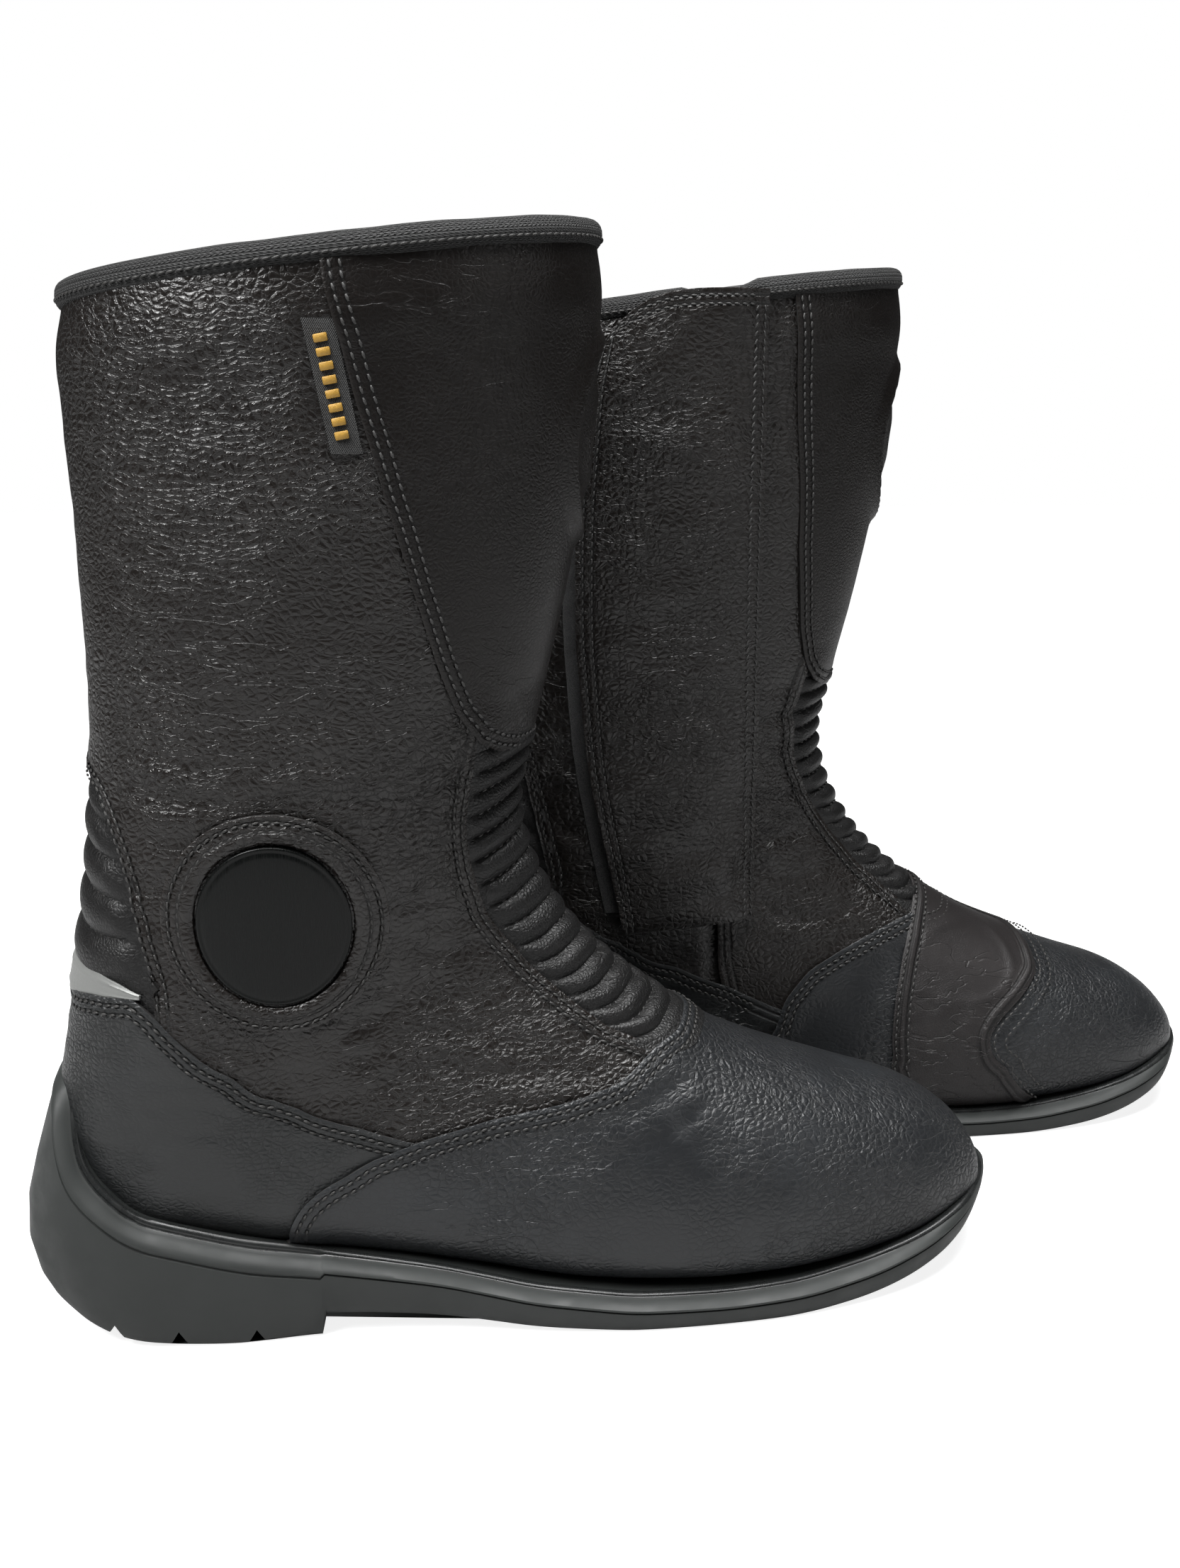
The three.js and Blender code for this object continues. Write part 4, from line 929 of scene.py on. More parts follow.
class Panel:
    """The lift of one panel above the last, from its sewn edges and its wear."""

    def __init__(self, over=(), under=(), base=0.0, raised=1.35, amount=1.0, extra=None):
        self.over, self.under, self.base = over, under, base
        self.raised, self.amount, self.extra = raised, amount, extra

    def __call__(self, t, angle):
        p = face(t, angle)
        lift = self.base + worn_shape(p, self.amount)
        for line in self.over:
            d = far_from(p, line)
            lift = lift + self.raised * np.exp(-((d / 9) ** 2)) - 0.3 * np.exp(-((d / 0.8) ** 2))
            lift = lift - 0.25 * bump_at(d, 2.2, 0.6) - 0.25 * bump_at(d, 5.0, 0.6)
        for line in self.under:
            lift = lift - 0.35 * np.exp(-((far_from(p, line) / 4) ** 2))
        if self.extra is not None:
            lift = lift + self.extra(t, angle, p)
        return lift

    def edge(self, t, angle):
        p = face(t, angle)
        d = np.full(p.shape[:-1], 99.0)
        for line in self.over:
            d = np.minimum(d, far_from(p, line))
        return d


# ---------------------------------------------------------------- the plain raised oval on the shin
EMBLEM = (268.0, 33.0, 0.6)  # centre height, half height, half width as an angle


def shin_emblem(t, angle, p):
    z, tall, wide = EMBLEM
    r = np.sqrt(((p[..., 2] - z) / tall) ** 2 + (angle / wide) ** 2)
    return (
        2.2 * np.exp(-(((r - 0.86) / 0.09) ** 2)) + 0.45 * (1 / (1 + np.exp((r - 0.8) / 0.05)))
        + 0.9 * np.exp(-(((r - 0.38) / 0.1) ** 2))
    )


shin_lift = Panel(over=(shin_out, shin_in), amount=0.25, raised=1.2, extra=shin_emblem)


# ---------------------------------------------------------------- panels
def shin_panel():
    bottom = eased(
        SHIN_OUT[-1:], on_side([(142, 178.6), (148, 176.6)], OUTER), on_front(175.8),
        on_side([(150, 176.8), (146, 178)], INNER), SHIN_IN[-1:], ease=5,
    )
    lift = shin_lift
    lift.over = (shin_out, shin_in, bottom)
    top = at_collar(SHIN_OUT[0, 1], SHIN_IN[0, 1])
    places = patch(top, bottom, shin_out, shin_in, stops(100, 1.7), stops(140, 1.7, (False, True)))
    t, a = places[..., 0], places[..., 1]
    d = lift.edge(t, a)
    piece = leather("shin_panel", places, lift(t, a), materials=(SMOOTH_LEATHER, CUT_EDGE), marks={"edge": d})
    rows = [(shin_out, 2.2), (shin_out, 5.0), (bottom, 2.2), (bottom, 5.0), (shin_in, 2.2), (shin_in, 5.0)]
    return piece, stitches("shin_stitches", lift, rows, (18, 0.0), GREY_THREAD)


def sew(name, runs, material=None, length=2.25, width=0.8):
    """One mesh of small sunken capsules, from runs of (place, place just ahead, outward direction)."""
    bpy.ops.mesh.primitive_uv_sphere_add(segments=6, ring_count=4, radius=0.5)
    shape = bpy.context.object
    edited(shape, lambda: bpy.ops.transform.resize(value=(length / 1000, width / 1000, width * 0.8 / 1000)))
    origins, axes = [], []
    for p, q, up in runs:
        way = q - p
        way /= np.maximum(np.linalg.norm(way, axis=1, keepdims=True), 1e-6)
        side = np.cross(up, way)
        way = way * math.cos(0.13) + side * math.sin(0.13)
        side = np.cross(up, way)
        origins.append(p)
        axes.append(np.stack([way, side, np.cross(way, side)], 1))
    piece = many(name, shape, np.vstack(origins), np.concatenate(axes), material or THREAD)
    bpy.data.objects.remove(shape)
    return piece


def stitches(name, lift, rows, toward, material=None, pitch=2.9, length=2.25, width=0.9, proud=0.36):
    """Rows of stitches at distances from a panel's edges, on the panel's own lift."""
    runs = []
    for line, distance in rows:
        row = beside(line, distance, toward) if distance else line
        long = lengths(row)[-1]
        share = (np.arange(int(long / pitch)) + 0.5) * pitch / long
        at, ahead = at_share(row, share), at_share(row, share + 0.8 / long)
        runs.append((
            lay(at[:, 0], at[:, 1], lift(at[:, 0], at[:, 1]) + proud),
            lay(ahead[:, 0], ahead[:, 1], lift(ahead[:, 0], ahead[:, 1]) + proud),
            outward(at[:, 0], at[:, 1])))
    return sew(name, runs, material, length, width)


def instep_bellows():
    out, inn = beside(instep_out, -4.0, (9, 0.0)), beside(instep_in, -4.0, (9, 0.0))
    top = eased(out[:1], on_front(188), inn[:1])
    bottom = eased(
        out[-1:], on_side([(198, 79), (205, 79.5)], OUTER), on_front(81.5), on_side([(205, 80), (198, 80.5)], INNER),
        inn[-1:], ease=6,
    )
    s, r = np.linspace(0, 1, 58), np.linspace(0, 1, 215)
    places = patch(top, bottom, out, inn, s, r)
    t, a = places[..., 0], places[..., 1]
    p = face(t, a)
    d = np.minimum(far_from(p, instep_out), far_from(p, instep_in))
    inside = np.clip(d / 5.5, 0, 1) ** 0.8
    share = r[:, None] + 0 * s[None]
    first, last, count = 0.055, 0.9, 15
    phase = (share - first) / (last - first) * count
    on = ((phase > 0) & (phase < count)).astype(float)
    dome = np.abs(np.sin(np.pi * phase)) ** 0.6
    lift = -0.9 + on * inside * (2.5 * dome) + (1 - on) + worn_shape(p, 0.3)
    front = np.clip((share - last) / 0.02, 0, 1)
    lift = lift + front * 0.9
    piece = leather(
        "instep_bellows", places, lift, thick=1.4, materials=(RIB_LEATHER, CUT_EDGE),
        marks={"edge": np.full(t.shape, 99)}, cut=0,
    )
    valleys = []
    for k in range(0, count + 1):
        row = np.interp(first + (last - first) * k / count, r, np.arange(len(r)))
        i = int(round(row))
        keep = d[i] > 4.5
        if keep.sum() > 8:
            valleys.append(places[i][keep])
    return piece, valley_stitches("instep_rib_stitches", valleys)


VALLEY_LIFT = -0.75  # the thread in a valley, from the last's face


def valley_stitches(name, valleys):
    """One row of stitches along the bottom of each valley between two ribs."""
    flat = lambda t, angle: np.full(np.shape(t), VALLEY_LIFT)
    return stitches(name, flat, [(v, 0.0) for v in valleys], (8, 0.3), pitch=3.4, length=2.1, width=0.75)


def achilles_bellows():
    out, inn = turned(beside(rear_out, -4.0, (16, math.pi))), turned(beside(rear_in, -4.0, (16, math.pi)))
    top = eased(out[:1], on_back(178), inn[:1])
    bottom = eased(out[-1:], on_back(101), inn[-1:])
    s, r = np.linspace(0, 1, 56), np.linspace(0, 1, 96)
    places = patch(top, bottom, out, inn, s, r)
    t, a = places[..., 0], places[..., 1]
    p = face(t, a)
    d = np.minimum(far_from(p, rear_out), far_from(p, turned(rear_in)))
    inside = np.clip(d / 6, 0, 1) ** 0.8
    share = r[:, None] + 0 * s[None]
    first, last, count = 0.1, 0.83, 6
    phase = (share - first) / (last - first) * count
    on = ((phase > 0) & (phase < count)).astype(float)
    lift = -0.9 + on * inside * 2.7 * np.abs(np.sin(np.pi * phase)) ** 0.6 + (1 - on) * 0.8 + worn_shape(p, 0.2)
    piece = leather(
        "achilles_bellows", places, lift, thick=1.4, materials=(RIB_LEATHER, CUT_EDGE),
        marks={"edge": np.full(t.shape, 99)}, cut=0,
    )
    valleys = []
    for k in range(count + 1):
        i = int(round(np.interp(first + (last - first) * k / count, r, np.arange(len(r)))))
        keep = d[i] > 5
        if keep.sum() > 8:
            valleys.append(places[i][keep])
    return piece, valley_stitches("achilles_rib_stitches", valleys)


def piping(line):
    """The raised strip sewn along a panel's edge beside the bellows."""
    def extra(t, angle, p):
        d = far_from(p, line)
        return 0.6 * bump_at(d, 3.6, 1.3) - 0.3 * bump_at(d, 6.4, 0.9)
    return extra


def shaft_panel():
    front = eased(
        on_side([
            (100.5, 312.6), (101, 306), (108, 278), (115, 252), (122, 227), (128, 207), (133, 195), (136.5, 186),
        ], OUTER),
        on_side([
            (133, 163), (133.5, 146), (138, 130), (148, 115), (161, 101), (176, 89), (188, 83.5), (192.5, 80.5),
        ], OUTER),
        ease=5, count=420,
    )
    front[0, 0] = COLLAR
    bottom = eased(
        turned(on_side([
            (192.5, 80.5), (179, 70), (162, 66), (140, 63), (120, 58), (100, 62), (79, 71), (60, 82), (45, 94),
            (41, 100),
        ], OUTER)),
        turned(REAR_OUT)[::-1][1:], on_back(174.5), turned(REAR_IN)[:3], ease=4, count=520,
    )
    right = turned(inner_rear)
    top = at_collar(front[0, 1], right[0, 1])
    edge_lines = (instep_out, rear_edge[:], inner_rear)
    strip = piping(instep_out)
    lift = Panel(over=edge_lines, under=(), raised=0.75, extra=strip)
    places = patch(top, bottom, front, right, stops(240, 2.0), stops(250, 2.0, (False, True)))
    t, a = places[..., 0], places[..., 1]
    d = lift.edge(t, a)
    piece = leather("shaft_panel", places, lift(t, a), materials=(SHAFT_LEATHER, CUT_EDGE), marks={"edge": d})
    rows = [(instep_out[20:], 2.2), (instep_out[20:], 5.0), (rear_out[:-14], 2.2), (rear_out[:-14], 5.0)]
    back = [(inner_rear, 2.2), (inner_rear, 5.0)]
    return piece, joined("shaft_stitches", [
        stitches("a", lift, rows[:2], (14, 1.6)), stitches("b", lift, rows[2:], (14, 1.6)),
        stitches("c", lift, back, (19, -2.9)),
    ])


BELOW_ZIP = eased(on_side([(106.0, 92), (105.6, 88), (105.8, 82), (108.5, 63)], INNER), ease=2)


def inner_front_panel():
    left = eased(
        on_side([
            (102.9, 312.7), (105.2, 270), (110.6, 108), (110.6, 100.5), (109.2, 96), (105.6, 89), (105.8, 82),
            (109, 60),
        ], INNER),
        ease=1.5,
    )
    right = eased(
        on_side([(128, 315.5), (132, 270), (135, 230), (138, 200), (140, 188)], INNER),
        on_side(
            [(134.5, 169), (136, 153), (140, 141), (149, 127), (160, 113), (173, 99), (186, 87.5), (190, 82)], INNER,
        ),
        ease=5, count=420,
    )
    bottom = eased(
        on_side([(109, 60), (125, 52), (132, 50), (145, 62), (158, 70), (174, 76), (190, 82)], INNER), ease=4,
    )
    left[0, 0] = right[0, 0] = COLLAR
    top = at_collar(left[0, 1], right[0, 1])
    lift = Panel(over=(instep_in, BELOW_ZIP), raised=0.75, extra=piping(instep_in))
    places = patch(top, bottom, left, right, stops(80, 1.9, (False, True)), stops(250, 1.9, (False, True)))
    t, a = places[..., 0], places[..., 1]
    piece = leather(
        "inner_front_panel", places, lift(t, a), materials=(SHAFT_LEATHER, CUT_EDGE), marks={"edge": lift.edge(t, a)},
    )
    zip_edge = left[:int(len(left) * 0.84)]
    rows = stitches("inner_front_stitches", lift, [(instep_in[20:], 2.2), (instep_in[20:], 5.0)], (14, -1.6))
    more = stitches("zip_front_row", lift, [(zip_edge, 2.0)], (18, -1.0))
    return piece, joined("inner_front_stitches", [rows, more])


def inner_rear_panel():
    left = eased(
        on_side([(93.2, 311.6), (98.2, 99), (101, 95.5), (109, 91), (110.5, 82), (113.5, 60)], INNER), ease=1.5,
    )
    right = eased(
        on_side([
            (32, 303.8), (31, 250), (30.5, 200), (28.5, 174), (28.5, 166), (31, 160), (34, 148), (37, 132),
            (41, 112), (41, 100),
        ], INNER),
        ease=3,
    )
    bottom = eased(on_side([(113.5, 60), (88, 70), (66, 80), (48, 92), (41, 100)], INNER), ease=4)
    left[0, 0] = right[0, 0] = COLLAR
    top = at_collar(left[0, 1], right[0, 1])
    tuck = lambda t, angle, p: -1.5 * np.clip((p[..., 0] - 99) / 5, 0, 1) * (p[..., 2] < 99)
    lift = Panel(over=(rear_in,), raised=0.75, extra=tuck)
    places = patch(top, bottom, left, right, stops(70, 1.9, (False, True)), stops(220, 1.9, (False, True)))
    t, a = places[..., 0], places[..., 1]
    piece = leather(
        "inner_rear_panel", places, lift(t, a), materials=(SHAFT_LEATHER, CUT_EDGE), marks={"edge": lift.edge(t, a)},
    )
    rows = stitches("inner_rear_stitches", lift, [(rear_in[:-14], 2.2), (rear_in[:-14], 5.0)], (14, -1.6))
    more = stitches("zip_rear_row", lift, [(left[:int(len(left) * 0.84)], 2.0)], (18, -2.2))
    return piece, joined("inner_rear_stitches", [rows, more])


def heel_cover():
    left = eased(turned(on_side([(122, 59), (105, 52), (92, 46), (86, 39), (83, 29)], OUTER)))
    right = eased(turned(on_side([(134, 52), (133.5, 40), (133, 25), (133, 17)], INNER)))
    bottom = eased(
        turned(on_side([(83, 29), (60, 31), (34, 38), (20, 47), (12.5, 58)], OUTER)), on_back(68),
        turned(on_side([(12.5, 58), (20, 47), (34, 38), (60, 31), (100, 22), (133, 17)], INNER)), ease=5, count=520)
    top = heel_edge
    lift = Panel(over=(heel_edge,), under=(vamp_edge,), raised=1.25, amount=0.8)
    places = patch(top[::1], bottom, left, right, stops(270, 1.8), stops(60, 1.6, (True, False)))
    t, a = places[..., 0], places[..., 1]
    piece = leather(
        "heel_cover", places, lift(t, a), materials=(HEEL_LEATHER, CUT_EDGE), marks={"edge": lift.edge(t, a)},
    )
    n = len(heel_edge)
    inner_part, outer_part = heel_edge[int(n * 0.56):-18], heel_edge[18:int(n * 0.44)]
    a1 = stitches("a", lift, [(outer_part, 2.2), (outer_part, 5.0)], (12.5, 2.4))
    a2 = stitches("b", lift, [(inner_part, 2.2), (inner_part, 5.0)], (12.5, 3.9))
    return piece, joined("heel_stitches", [a1, a2])


def vamp():
    low_out = on_side(
        [
            (80, 28), (100, 24.5), (120, 20), (150, 14), (180, 11.5), (210, 11), (235, 12), (260, 14), (280, 17),
            (294, 20.5), (303, 24),
        ],
        OUTER,
    )
    low_in = on_side(
        [(120, 20), (150, 14), (180, 11.5), (210, 11), (235, 12), (260, 14), (280, 17), (294, 20.5), (303, 24)],
        INNER,
    )
    order = lambda line: line[np.argsort(line[:, 0])]
    low_out, low_in = order(low_out), order(low_in)

    def low(t, v):
        out = np.interp(t, np.r_[1.0, low_out[:, 0]], np.r_[1.75, low_out[:, 1]])
        inn = np.interp(t, np.r_[1.0, low_in[:, 0]], np.r_[1.75, -low_in[:, 1]])
        return np.where(v >= 0, out, inn)

    v_of = vamp_edge[:, 1] / low(vamp_edge[:, 0], vamp_edge[:, 1])
    order = np.argsort(v_of)
    v = np.linspace(1, -1, 125)
    t_edge = np.interp(v, v_of[order], vamp_edge[order, 0])
    u = 1 - stops(170, 1.7, (True, False))
    u = np.sort(u)
    t = 1.03 + (t_edge[None] - 1.03) * u[:, None] ** 0.92
    a = v[None] * low(t, v[None] + 0 * t)
    places = np.stack([t, a], -1)

    def tip(t, angle, p):
        seam = far_from(p, vamp_edge)
        folds = (
            0.5 * np.sin(p[..., 0] * 0.42 + p[..., 2] * 0.25)
            * np.exp(-(((p[..., 0] - 190) / 22) ** 2)) * np.exp(-(((p[..., 2] - 62) / 14) ** 2))
        )
        return folds * np.clip(seam / 8, 0, 1)

    lift = Panel(over=(vamp_edge,), raised=1.5, amount=0.7, extra=tip)
    piece = leather(
        "vamp", places, lift(t, a), materials=(VAMP_LEATHER, CUT_EDGE), marks={"edge": lift.edge(t, a)}, weld=True,
    )
    rows = [(vamp_edge[6:-6], 2.2), (vamp_edge[6:-6], 5.0)]
    return piece, stitches("vamp_stitches", lift, rows, (6.0, 0.0))


BOOT = []  # every piece of one boot: object, body, CAD nodes it stands for, slot


def add(piece, body, nodes=(), slot=None):
    BOOT.append((piece, body, tuple(nodes), slot))
    return piece


for make, nodes in (
    (shin_panel, "shin_panel"), (instep_bellows, "instep_bellows"), (achilles_bellows, "achilles_bellows"),
    (shaft_panel, "shaft_panel"), (inner_front_panel, "inner_front_panel"),
    (inner_rear_panel, "inner_rear_panel"), (heel_cover, "heel_cover"), (vamp, "vamp"),
):
    skin, sewing = make()
    add(skin, "boot", [nodes], "smooth_leather" if "bellows" in nodes or "shin" in nodes else "grain_leather")
    add(sewing, "boot")


# ---------------------------------------------------------------- the outsole
SOLE_PLAN = [
    (-5, 0, 0), (-4, 12, 12), (1, 22, 22), (12, 31.5, 31), (30, 38, 37), (60, 41, 39.5), (86, 41.6, 39.6),
    (120, 45, 40.5), (150, 50, 44), (180, 54, 48), (210, 55, 50), (235, 53.5, 50), (260, 48.5, 47.5),
    (280, 41, 42), (295, 31, 33.5), (306, 18, 20.5), (311.5, 7, 8), (313, 0, 0),
]
SOLE_TOP = [
    (-5, 85), (-4, 82), (1, 72.5), (6, 62), (12, 54), (30, 40.5), (60, 32), (87, 26.5), (120, 20.5),
    (150, 13.8), (180, 10.2), (210, 9.6), (235, 10.4), (260, 13.2), (280, 17), (295, 21), (306, 24.8),
    (313, 27.5),
]
SOLE_BOTTOM = [
    (-5, 9), (1, 7.4), (12, 4.4), (30, 1.8), (48, 0.4), (62, 0), (85.4, 0), (86.6, 7), (120, 5), (150, 1),
    (180, 0), (235, 0), (260, 2), (280, 5.5), (295, 10), (306, 14.5), (313, 18.5),
]
HEEL_BACK = [(0, 17), (6, 9), (14, 3), (27, 0), (40, 1), (54, 5), (68, 9.5), (86, 14.5)]


def read_off(curve, x, soft=0.0):
    """A curve's value, evened out over a length on either side of x."""
    xs, zs = np.array(curve, float).T
    return np.mean([np.interp(x + k * soft, xs, zs) for k in (-1, -0.5, 0, 0.5, 1)], 0)


def sole_outline():
    """The plan outline, close together and with a pair of places at the heel's breast."""
    ring = [(x, -o) for x, o, _ in SOLE_PLAN] + [(x, i) for x, _, i in SOLE_PLAN[-2:0:-1]]
    ring = np.array(ring, float)
    n = len(ring)
    fine = []
    for i in range(n):
        a, b, c, d = (ring[(i + k) % n] for k in (-1, 0, 1, 2))
        for s in np.arange(0, 1, 1 / 40):
            fine.append(b + 0.5 * s * (c - a + s * (2 * a - 5 * b + 4 * c - d + s * (3 * (b - c) + d - a))))
    fine = np.array(fine)
    gone = np.concatenate([[0], np.cumsum(np.linalg.norm(np.diff(fine, axis=0), axis=1))])
    half = np.argmax(fine[:, 0])
    want = list(np.arange(0, gone[-1] - 1.0, 2.1))
    for low, high in ((0, half), (half, len(fine) - 1)):
        xs, gs = fine[low:high, 0], gone[low:high]
        order = np.argsort(xs)
        for x in (85.3, 86.7):
            want.append(np.interp(x, xs[order], gs[order]))
    want = np.array(sorted(want))
    step = np.array([np.interp(want, gone, fine[:, k]) for k in (0, 1)]).T
    keep = [0]
    for i in range(1, len(step)):
        near_breast = abs(step[i, 0] - 86) < 0.9
        close = np.linalg.norm(step[i] - step[keep[-1]]) < 0.9 and not near_breast
        if not close and not (abs(step[i, 0] - 86) < 2.2 and not near_breast):
            keep.append(i)
    return step[keep]


def outsole():
    plan = sole_outline()
    ahead = np.roll(plan, -1, 0) - np.roll(plan, 1, 0)
    out = np.stack([ahead[:, 1], -ahead[:, 0]], 1)
    out /= np.linalg.norm(out, axis=1, keepdims=True)
    middle = np.stack([np.clip(plan[:, 0], 20, 290), 0 * plan[:, 0]], 1)
    if ((plan - middle) * out).sum() < 0:
        out = -out
    x = plan[:, 0]
    top, low = read_off(SOLE_TOP, x, 5), read_off(SOLE_BOTTOM, x)
    soft_low = read_off(SOLE_BOTTOM, x, 8)
    low = np.where((x > 70) & (x < 100), low, soft_low)
    tall = top - low
    k = np.clip(tall / 30, 0.5, 1.0)
    leather_at = np.stack(np.meshgrid(np.linspace(1.3, 19, 240), np.linspace(0, 2 * math.pi, 361), indexing="ij"), -1)
    skin = lay(leather_at[..., 0], leather_at[..., 1], 1.0).reshape(-1, 3)
    gap = []
    for spot, height in zip(plan, top):
        level = skin[np.abs(skin[:, 2] - height - 0.4) < 1.2]
        gap.append(np.sqrt(((level[:, :2] - spot) ** 2).sum(1).min()) if len(level) else 3.0)
    gap = np.clip(gap, 1.5, 6.5)
    gap = np.mean([np.roll(gap, j) for j in range(-4, 5)], 0)
    profile = [
        (1, 2.2, 0.0), (1, 0.9, -0.7), (1, 0.1, -0.9), (1, -0.7, -0.5), (1, -1.1, 0.3), (1, -1.0, 1.0),
        (0.9, -0.7, 1.5), (0.7, -0.5, 1.9), (0.45, -0.3, 2.7), (0.2, 0.0, 3.8), (0.05, 0.0, 5.0),
        (0, 0.15, 6.0), (0, 0.4, 6.5), (0, 1.0, 6.9), (0, 1.0, 7.2), (0, 0.4, 7.6),
    ]
    rings = []
    for share, inset, deep in profile:
        rings.append((share * gap + inset, top - deep * k))
    wall_top = top - 7.6 * k
    for share, inset in (
        (0.12, 0.3), (0.3, 0.5), (0.5, 0.8), (0.7, 1.2), (0.85, 1.6), (0.94, 2.2), (0.985, 3.0), (1.0, 3.8),
        (1.0, 6.0),
    ):
        narrow = np.interp(x, [60, 100, 140, 180], [0.7, 1.6, 1.6, 1.0])
        rings.append((inset * narrow, wall_top + (low - wall_top) * share))
    rows = []
    for inset, z in rings:
        fade = np.clip(1 - (x + 5) / 40, 0, 1) ** 1.5
        shift = read_off(HEEL_BACK, np.minimum(z, 85), 3) * fade
        p = plan - out * inset[:, None]
        rows.append(np.stack([p[:, 0] + shift, p[:, 1], z], 1))
    rows = np.array(rows)
    points = np.concatenate([rows, rows[:, :1]], 1)
    piece = grid_piece("outsole", points, closed=True)

    alone(piece)
    bpy.ops.object.mode_set(mode="EDIT")
    bpy.ops.mesh.select_mode(type="EDGE")
    bpy.ops.mesh.select_all(action="DESELECT")
    bpy.ops.mesh.select_non_manifold()
    bpy.ops.mesh.fill()
    bpy.ops.mesh.select_all(action="SELECT")
    bpy.ops.mesh.normals_make_consistent(inside=False)
    bpy.ops.mesh.select_mode(type="VERT")
    bpy.ops.object.mode_set(mode="OBJECT")
    painted(piece, RUBBER, BEAD)
    count = len(plan)
    for polygon in piece.data.polygons:
        if 1 <= polygon.vertices[0] // count <= 5 and len(polygon.vertices) == 4:
            polygon.material_index = 1

    cutters = [last_solid()]
    for x, rise in ((24, 2.5), (43, 0.8), (66, 0)):
        bpy.ops.mesh.primitive_cylinder_add(vertices=3, radius=0.0031, depth=0.2, location=(x / 1000, 0, 0.0018))
        notch = bpy.context.object
        notch.rotation_euler = (math.radians(90), 0, 0)
        bpy.ops.object.transform_apply(location=True, rotation=True, scale=True)
        co = coordinates(notch)
        high = co[:, 2].max()
        flip = np.isclose(co[:, 2], high).sum() > 2
        put(notch, (co * (1, 1, -1) + (0, 0, 0.0036) if flip else co) + (0, 0, rise / 1000))
        edited(notch, lambda: bpy.ops.mesh.normals_make_consistent(inside=False))
        cutters.append(notch)
    for x in np.arange(160, 250, 11.5):
        wide = 37 - abs(x - 205) * 0.12
        cutters.append(tread_cutter(x, -wide - 1, -2.5, 16))
        cutters.append(tread_cutter(x, 2.5, wide - 2, -16))
    for x in (14, 33, 54, 76):
        cutters.append(tread_cutter(x, -26, 26, 0))
    for cutter in cutters:
        finished(piece, ("BOOLEAN", {"operation": "DIFFERENCE", "object": cutter, "solver": "EXACT"}))
    for cutter in cutters:
        bpy.data.objects.remove(cutter)
    return smooth(piece, 38)


def tread_cutter(x, y0, y1, slant):
    """A groove cutter with softened edges, across part of the tread."""
    long = y1 - y0
    bpy.ops.mesh.primitive_cube_add(size=1, location=(0, 0, 0))
    bar = bpy.context.object
    edited(bar, lambda: bpy.ops.transform.resize(value=(0.0028, long / 1000, 0.0048)))
    finished(bar, ("BEVEL", {"width": 0.0007, "segments": 2}))
    co = coordinates(bar)
    turn = np.array(Matrix.Rotation(math.radians(slant), 3, "Z"))
    put(bar, co @ turn.T + np.array([x, (y0 + y1) / 2, 0.0]) / 1000)
    return bar


def last_solid(lift=-0.5):
    """The foot's own solid, used to hollow the sole."""
    rows = [lay(np.full(96, t), np.linspace(0, 2 * math.pi, 97)[:-1], lift) for t in np.linspace(1.12, 18, 120)]
    points = np.array(rows)
    points = np.concatenate([points, points[:, :1]], 1)
    solid = grid_piece("last_solid", points, closed=True)
    alone(solid)
    bpy.ops.object.mode_set(mode="EDIT")
    bpy.ops.mesh.select_mode(type="EDGE")
    bpy.ops.mesh.select_all(action="DESELECT")
    bpy.ops.mesh.select_non_manifold()
    bpy.ops.mesh.fill()
    bpy.ops.mesh.select_all(action="SELECT")
    bpy.ops.mesh.normals_make_consistent(inside=False)
    bpy.ops.mesh.select_mode(type="VERT")
    bpy.ops.object.mode_set(mode="OBJECT")
    return solid


add(outsole(), "boot", ["outsole"], "sole_rubber")


# ---------------------------------------------------------------- collar and lining
def capped(piece):
    """Closes a tube's open ends."""
    alone(piece)
    bpy.ops.object.mode_set(mode="EDIT")
    bpy.ops.mesh.select_mode(type="EDGE")
    bpy.ops.mesh.select_all(action="DESELECT")
    bpy.ops.mesh.select_non_manifold()
    bpy.ops.mesh.fill()
    bpy.ops.mesh.select_all(action="SELECT")
    bpy.ops.mesh.normals_make_consistent(inside=False)
    bpy.ops.mesh.select_mode(type="VERT")
    bpy.ops.object.mode_set(mode="OBJECT")
    return piece


ZIP_FRONT, ZIP_REAR = on_side([(104.6, 311)], INNER)[0, 1], on_side([(91.4, 311)], INNER)[0, 1]


def collar_binding():
    """The knitted tube bound over the collar, open at the zip."""
    count, around = 300, 22
    angle = np.linspace(ZIP_FRONT, ZIP_REAR + 2 * math.pi, count)
    inside = lay(np.full(count, COLLAR), angle, -3.0)
    out = outward(np.full(count, COLLAR), angle)
    up = face(COLLAR + 0.1, angle) - face(COLLAR, angle)
    up /= np.linalg.norm(up, axis=1, keepdims=True)
    turn = np.linspace(0, 2 * math.pi, around + 1)
    c, s = np.cos(turn), np.sin(turn)
    c, s = np.sign(c) * np.abs(c) ** 0.85, np.sign(s) * np.abs(s) ** 0.85
    wave = 1 + 0.025 * ripple(inside, 18, 21)
    ends = np.clip(np.minimum(np.arange(count), count - 1 - np.arange(count)) / 4, 0.35, 1) ** 0.5
    r = (wave * ends)[:, None, None]
    points = inside[:, None] + up[:, None] * 2.6 + r * (
        out[:, None] * (3.5 * c)[None, :, None] + up[:, None] * (3.9 * s)[None, :, None]
    )
    long = np.linalg.norm(np.diff(inside, axis=0), axis=1).sum()
    piece = grid_piece("collar_binding", points.transpose(1, 0, 2), (long, 27.0), closed=True)
    capped(piece)
    painted(piece, BINDING_KNIT)
    return smooth(piece, 60)


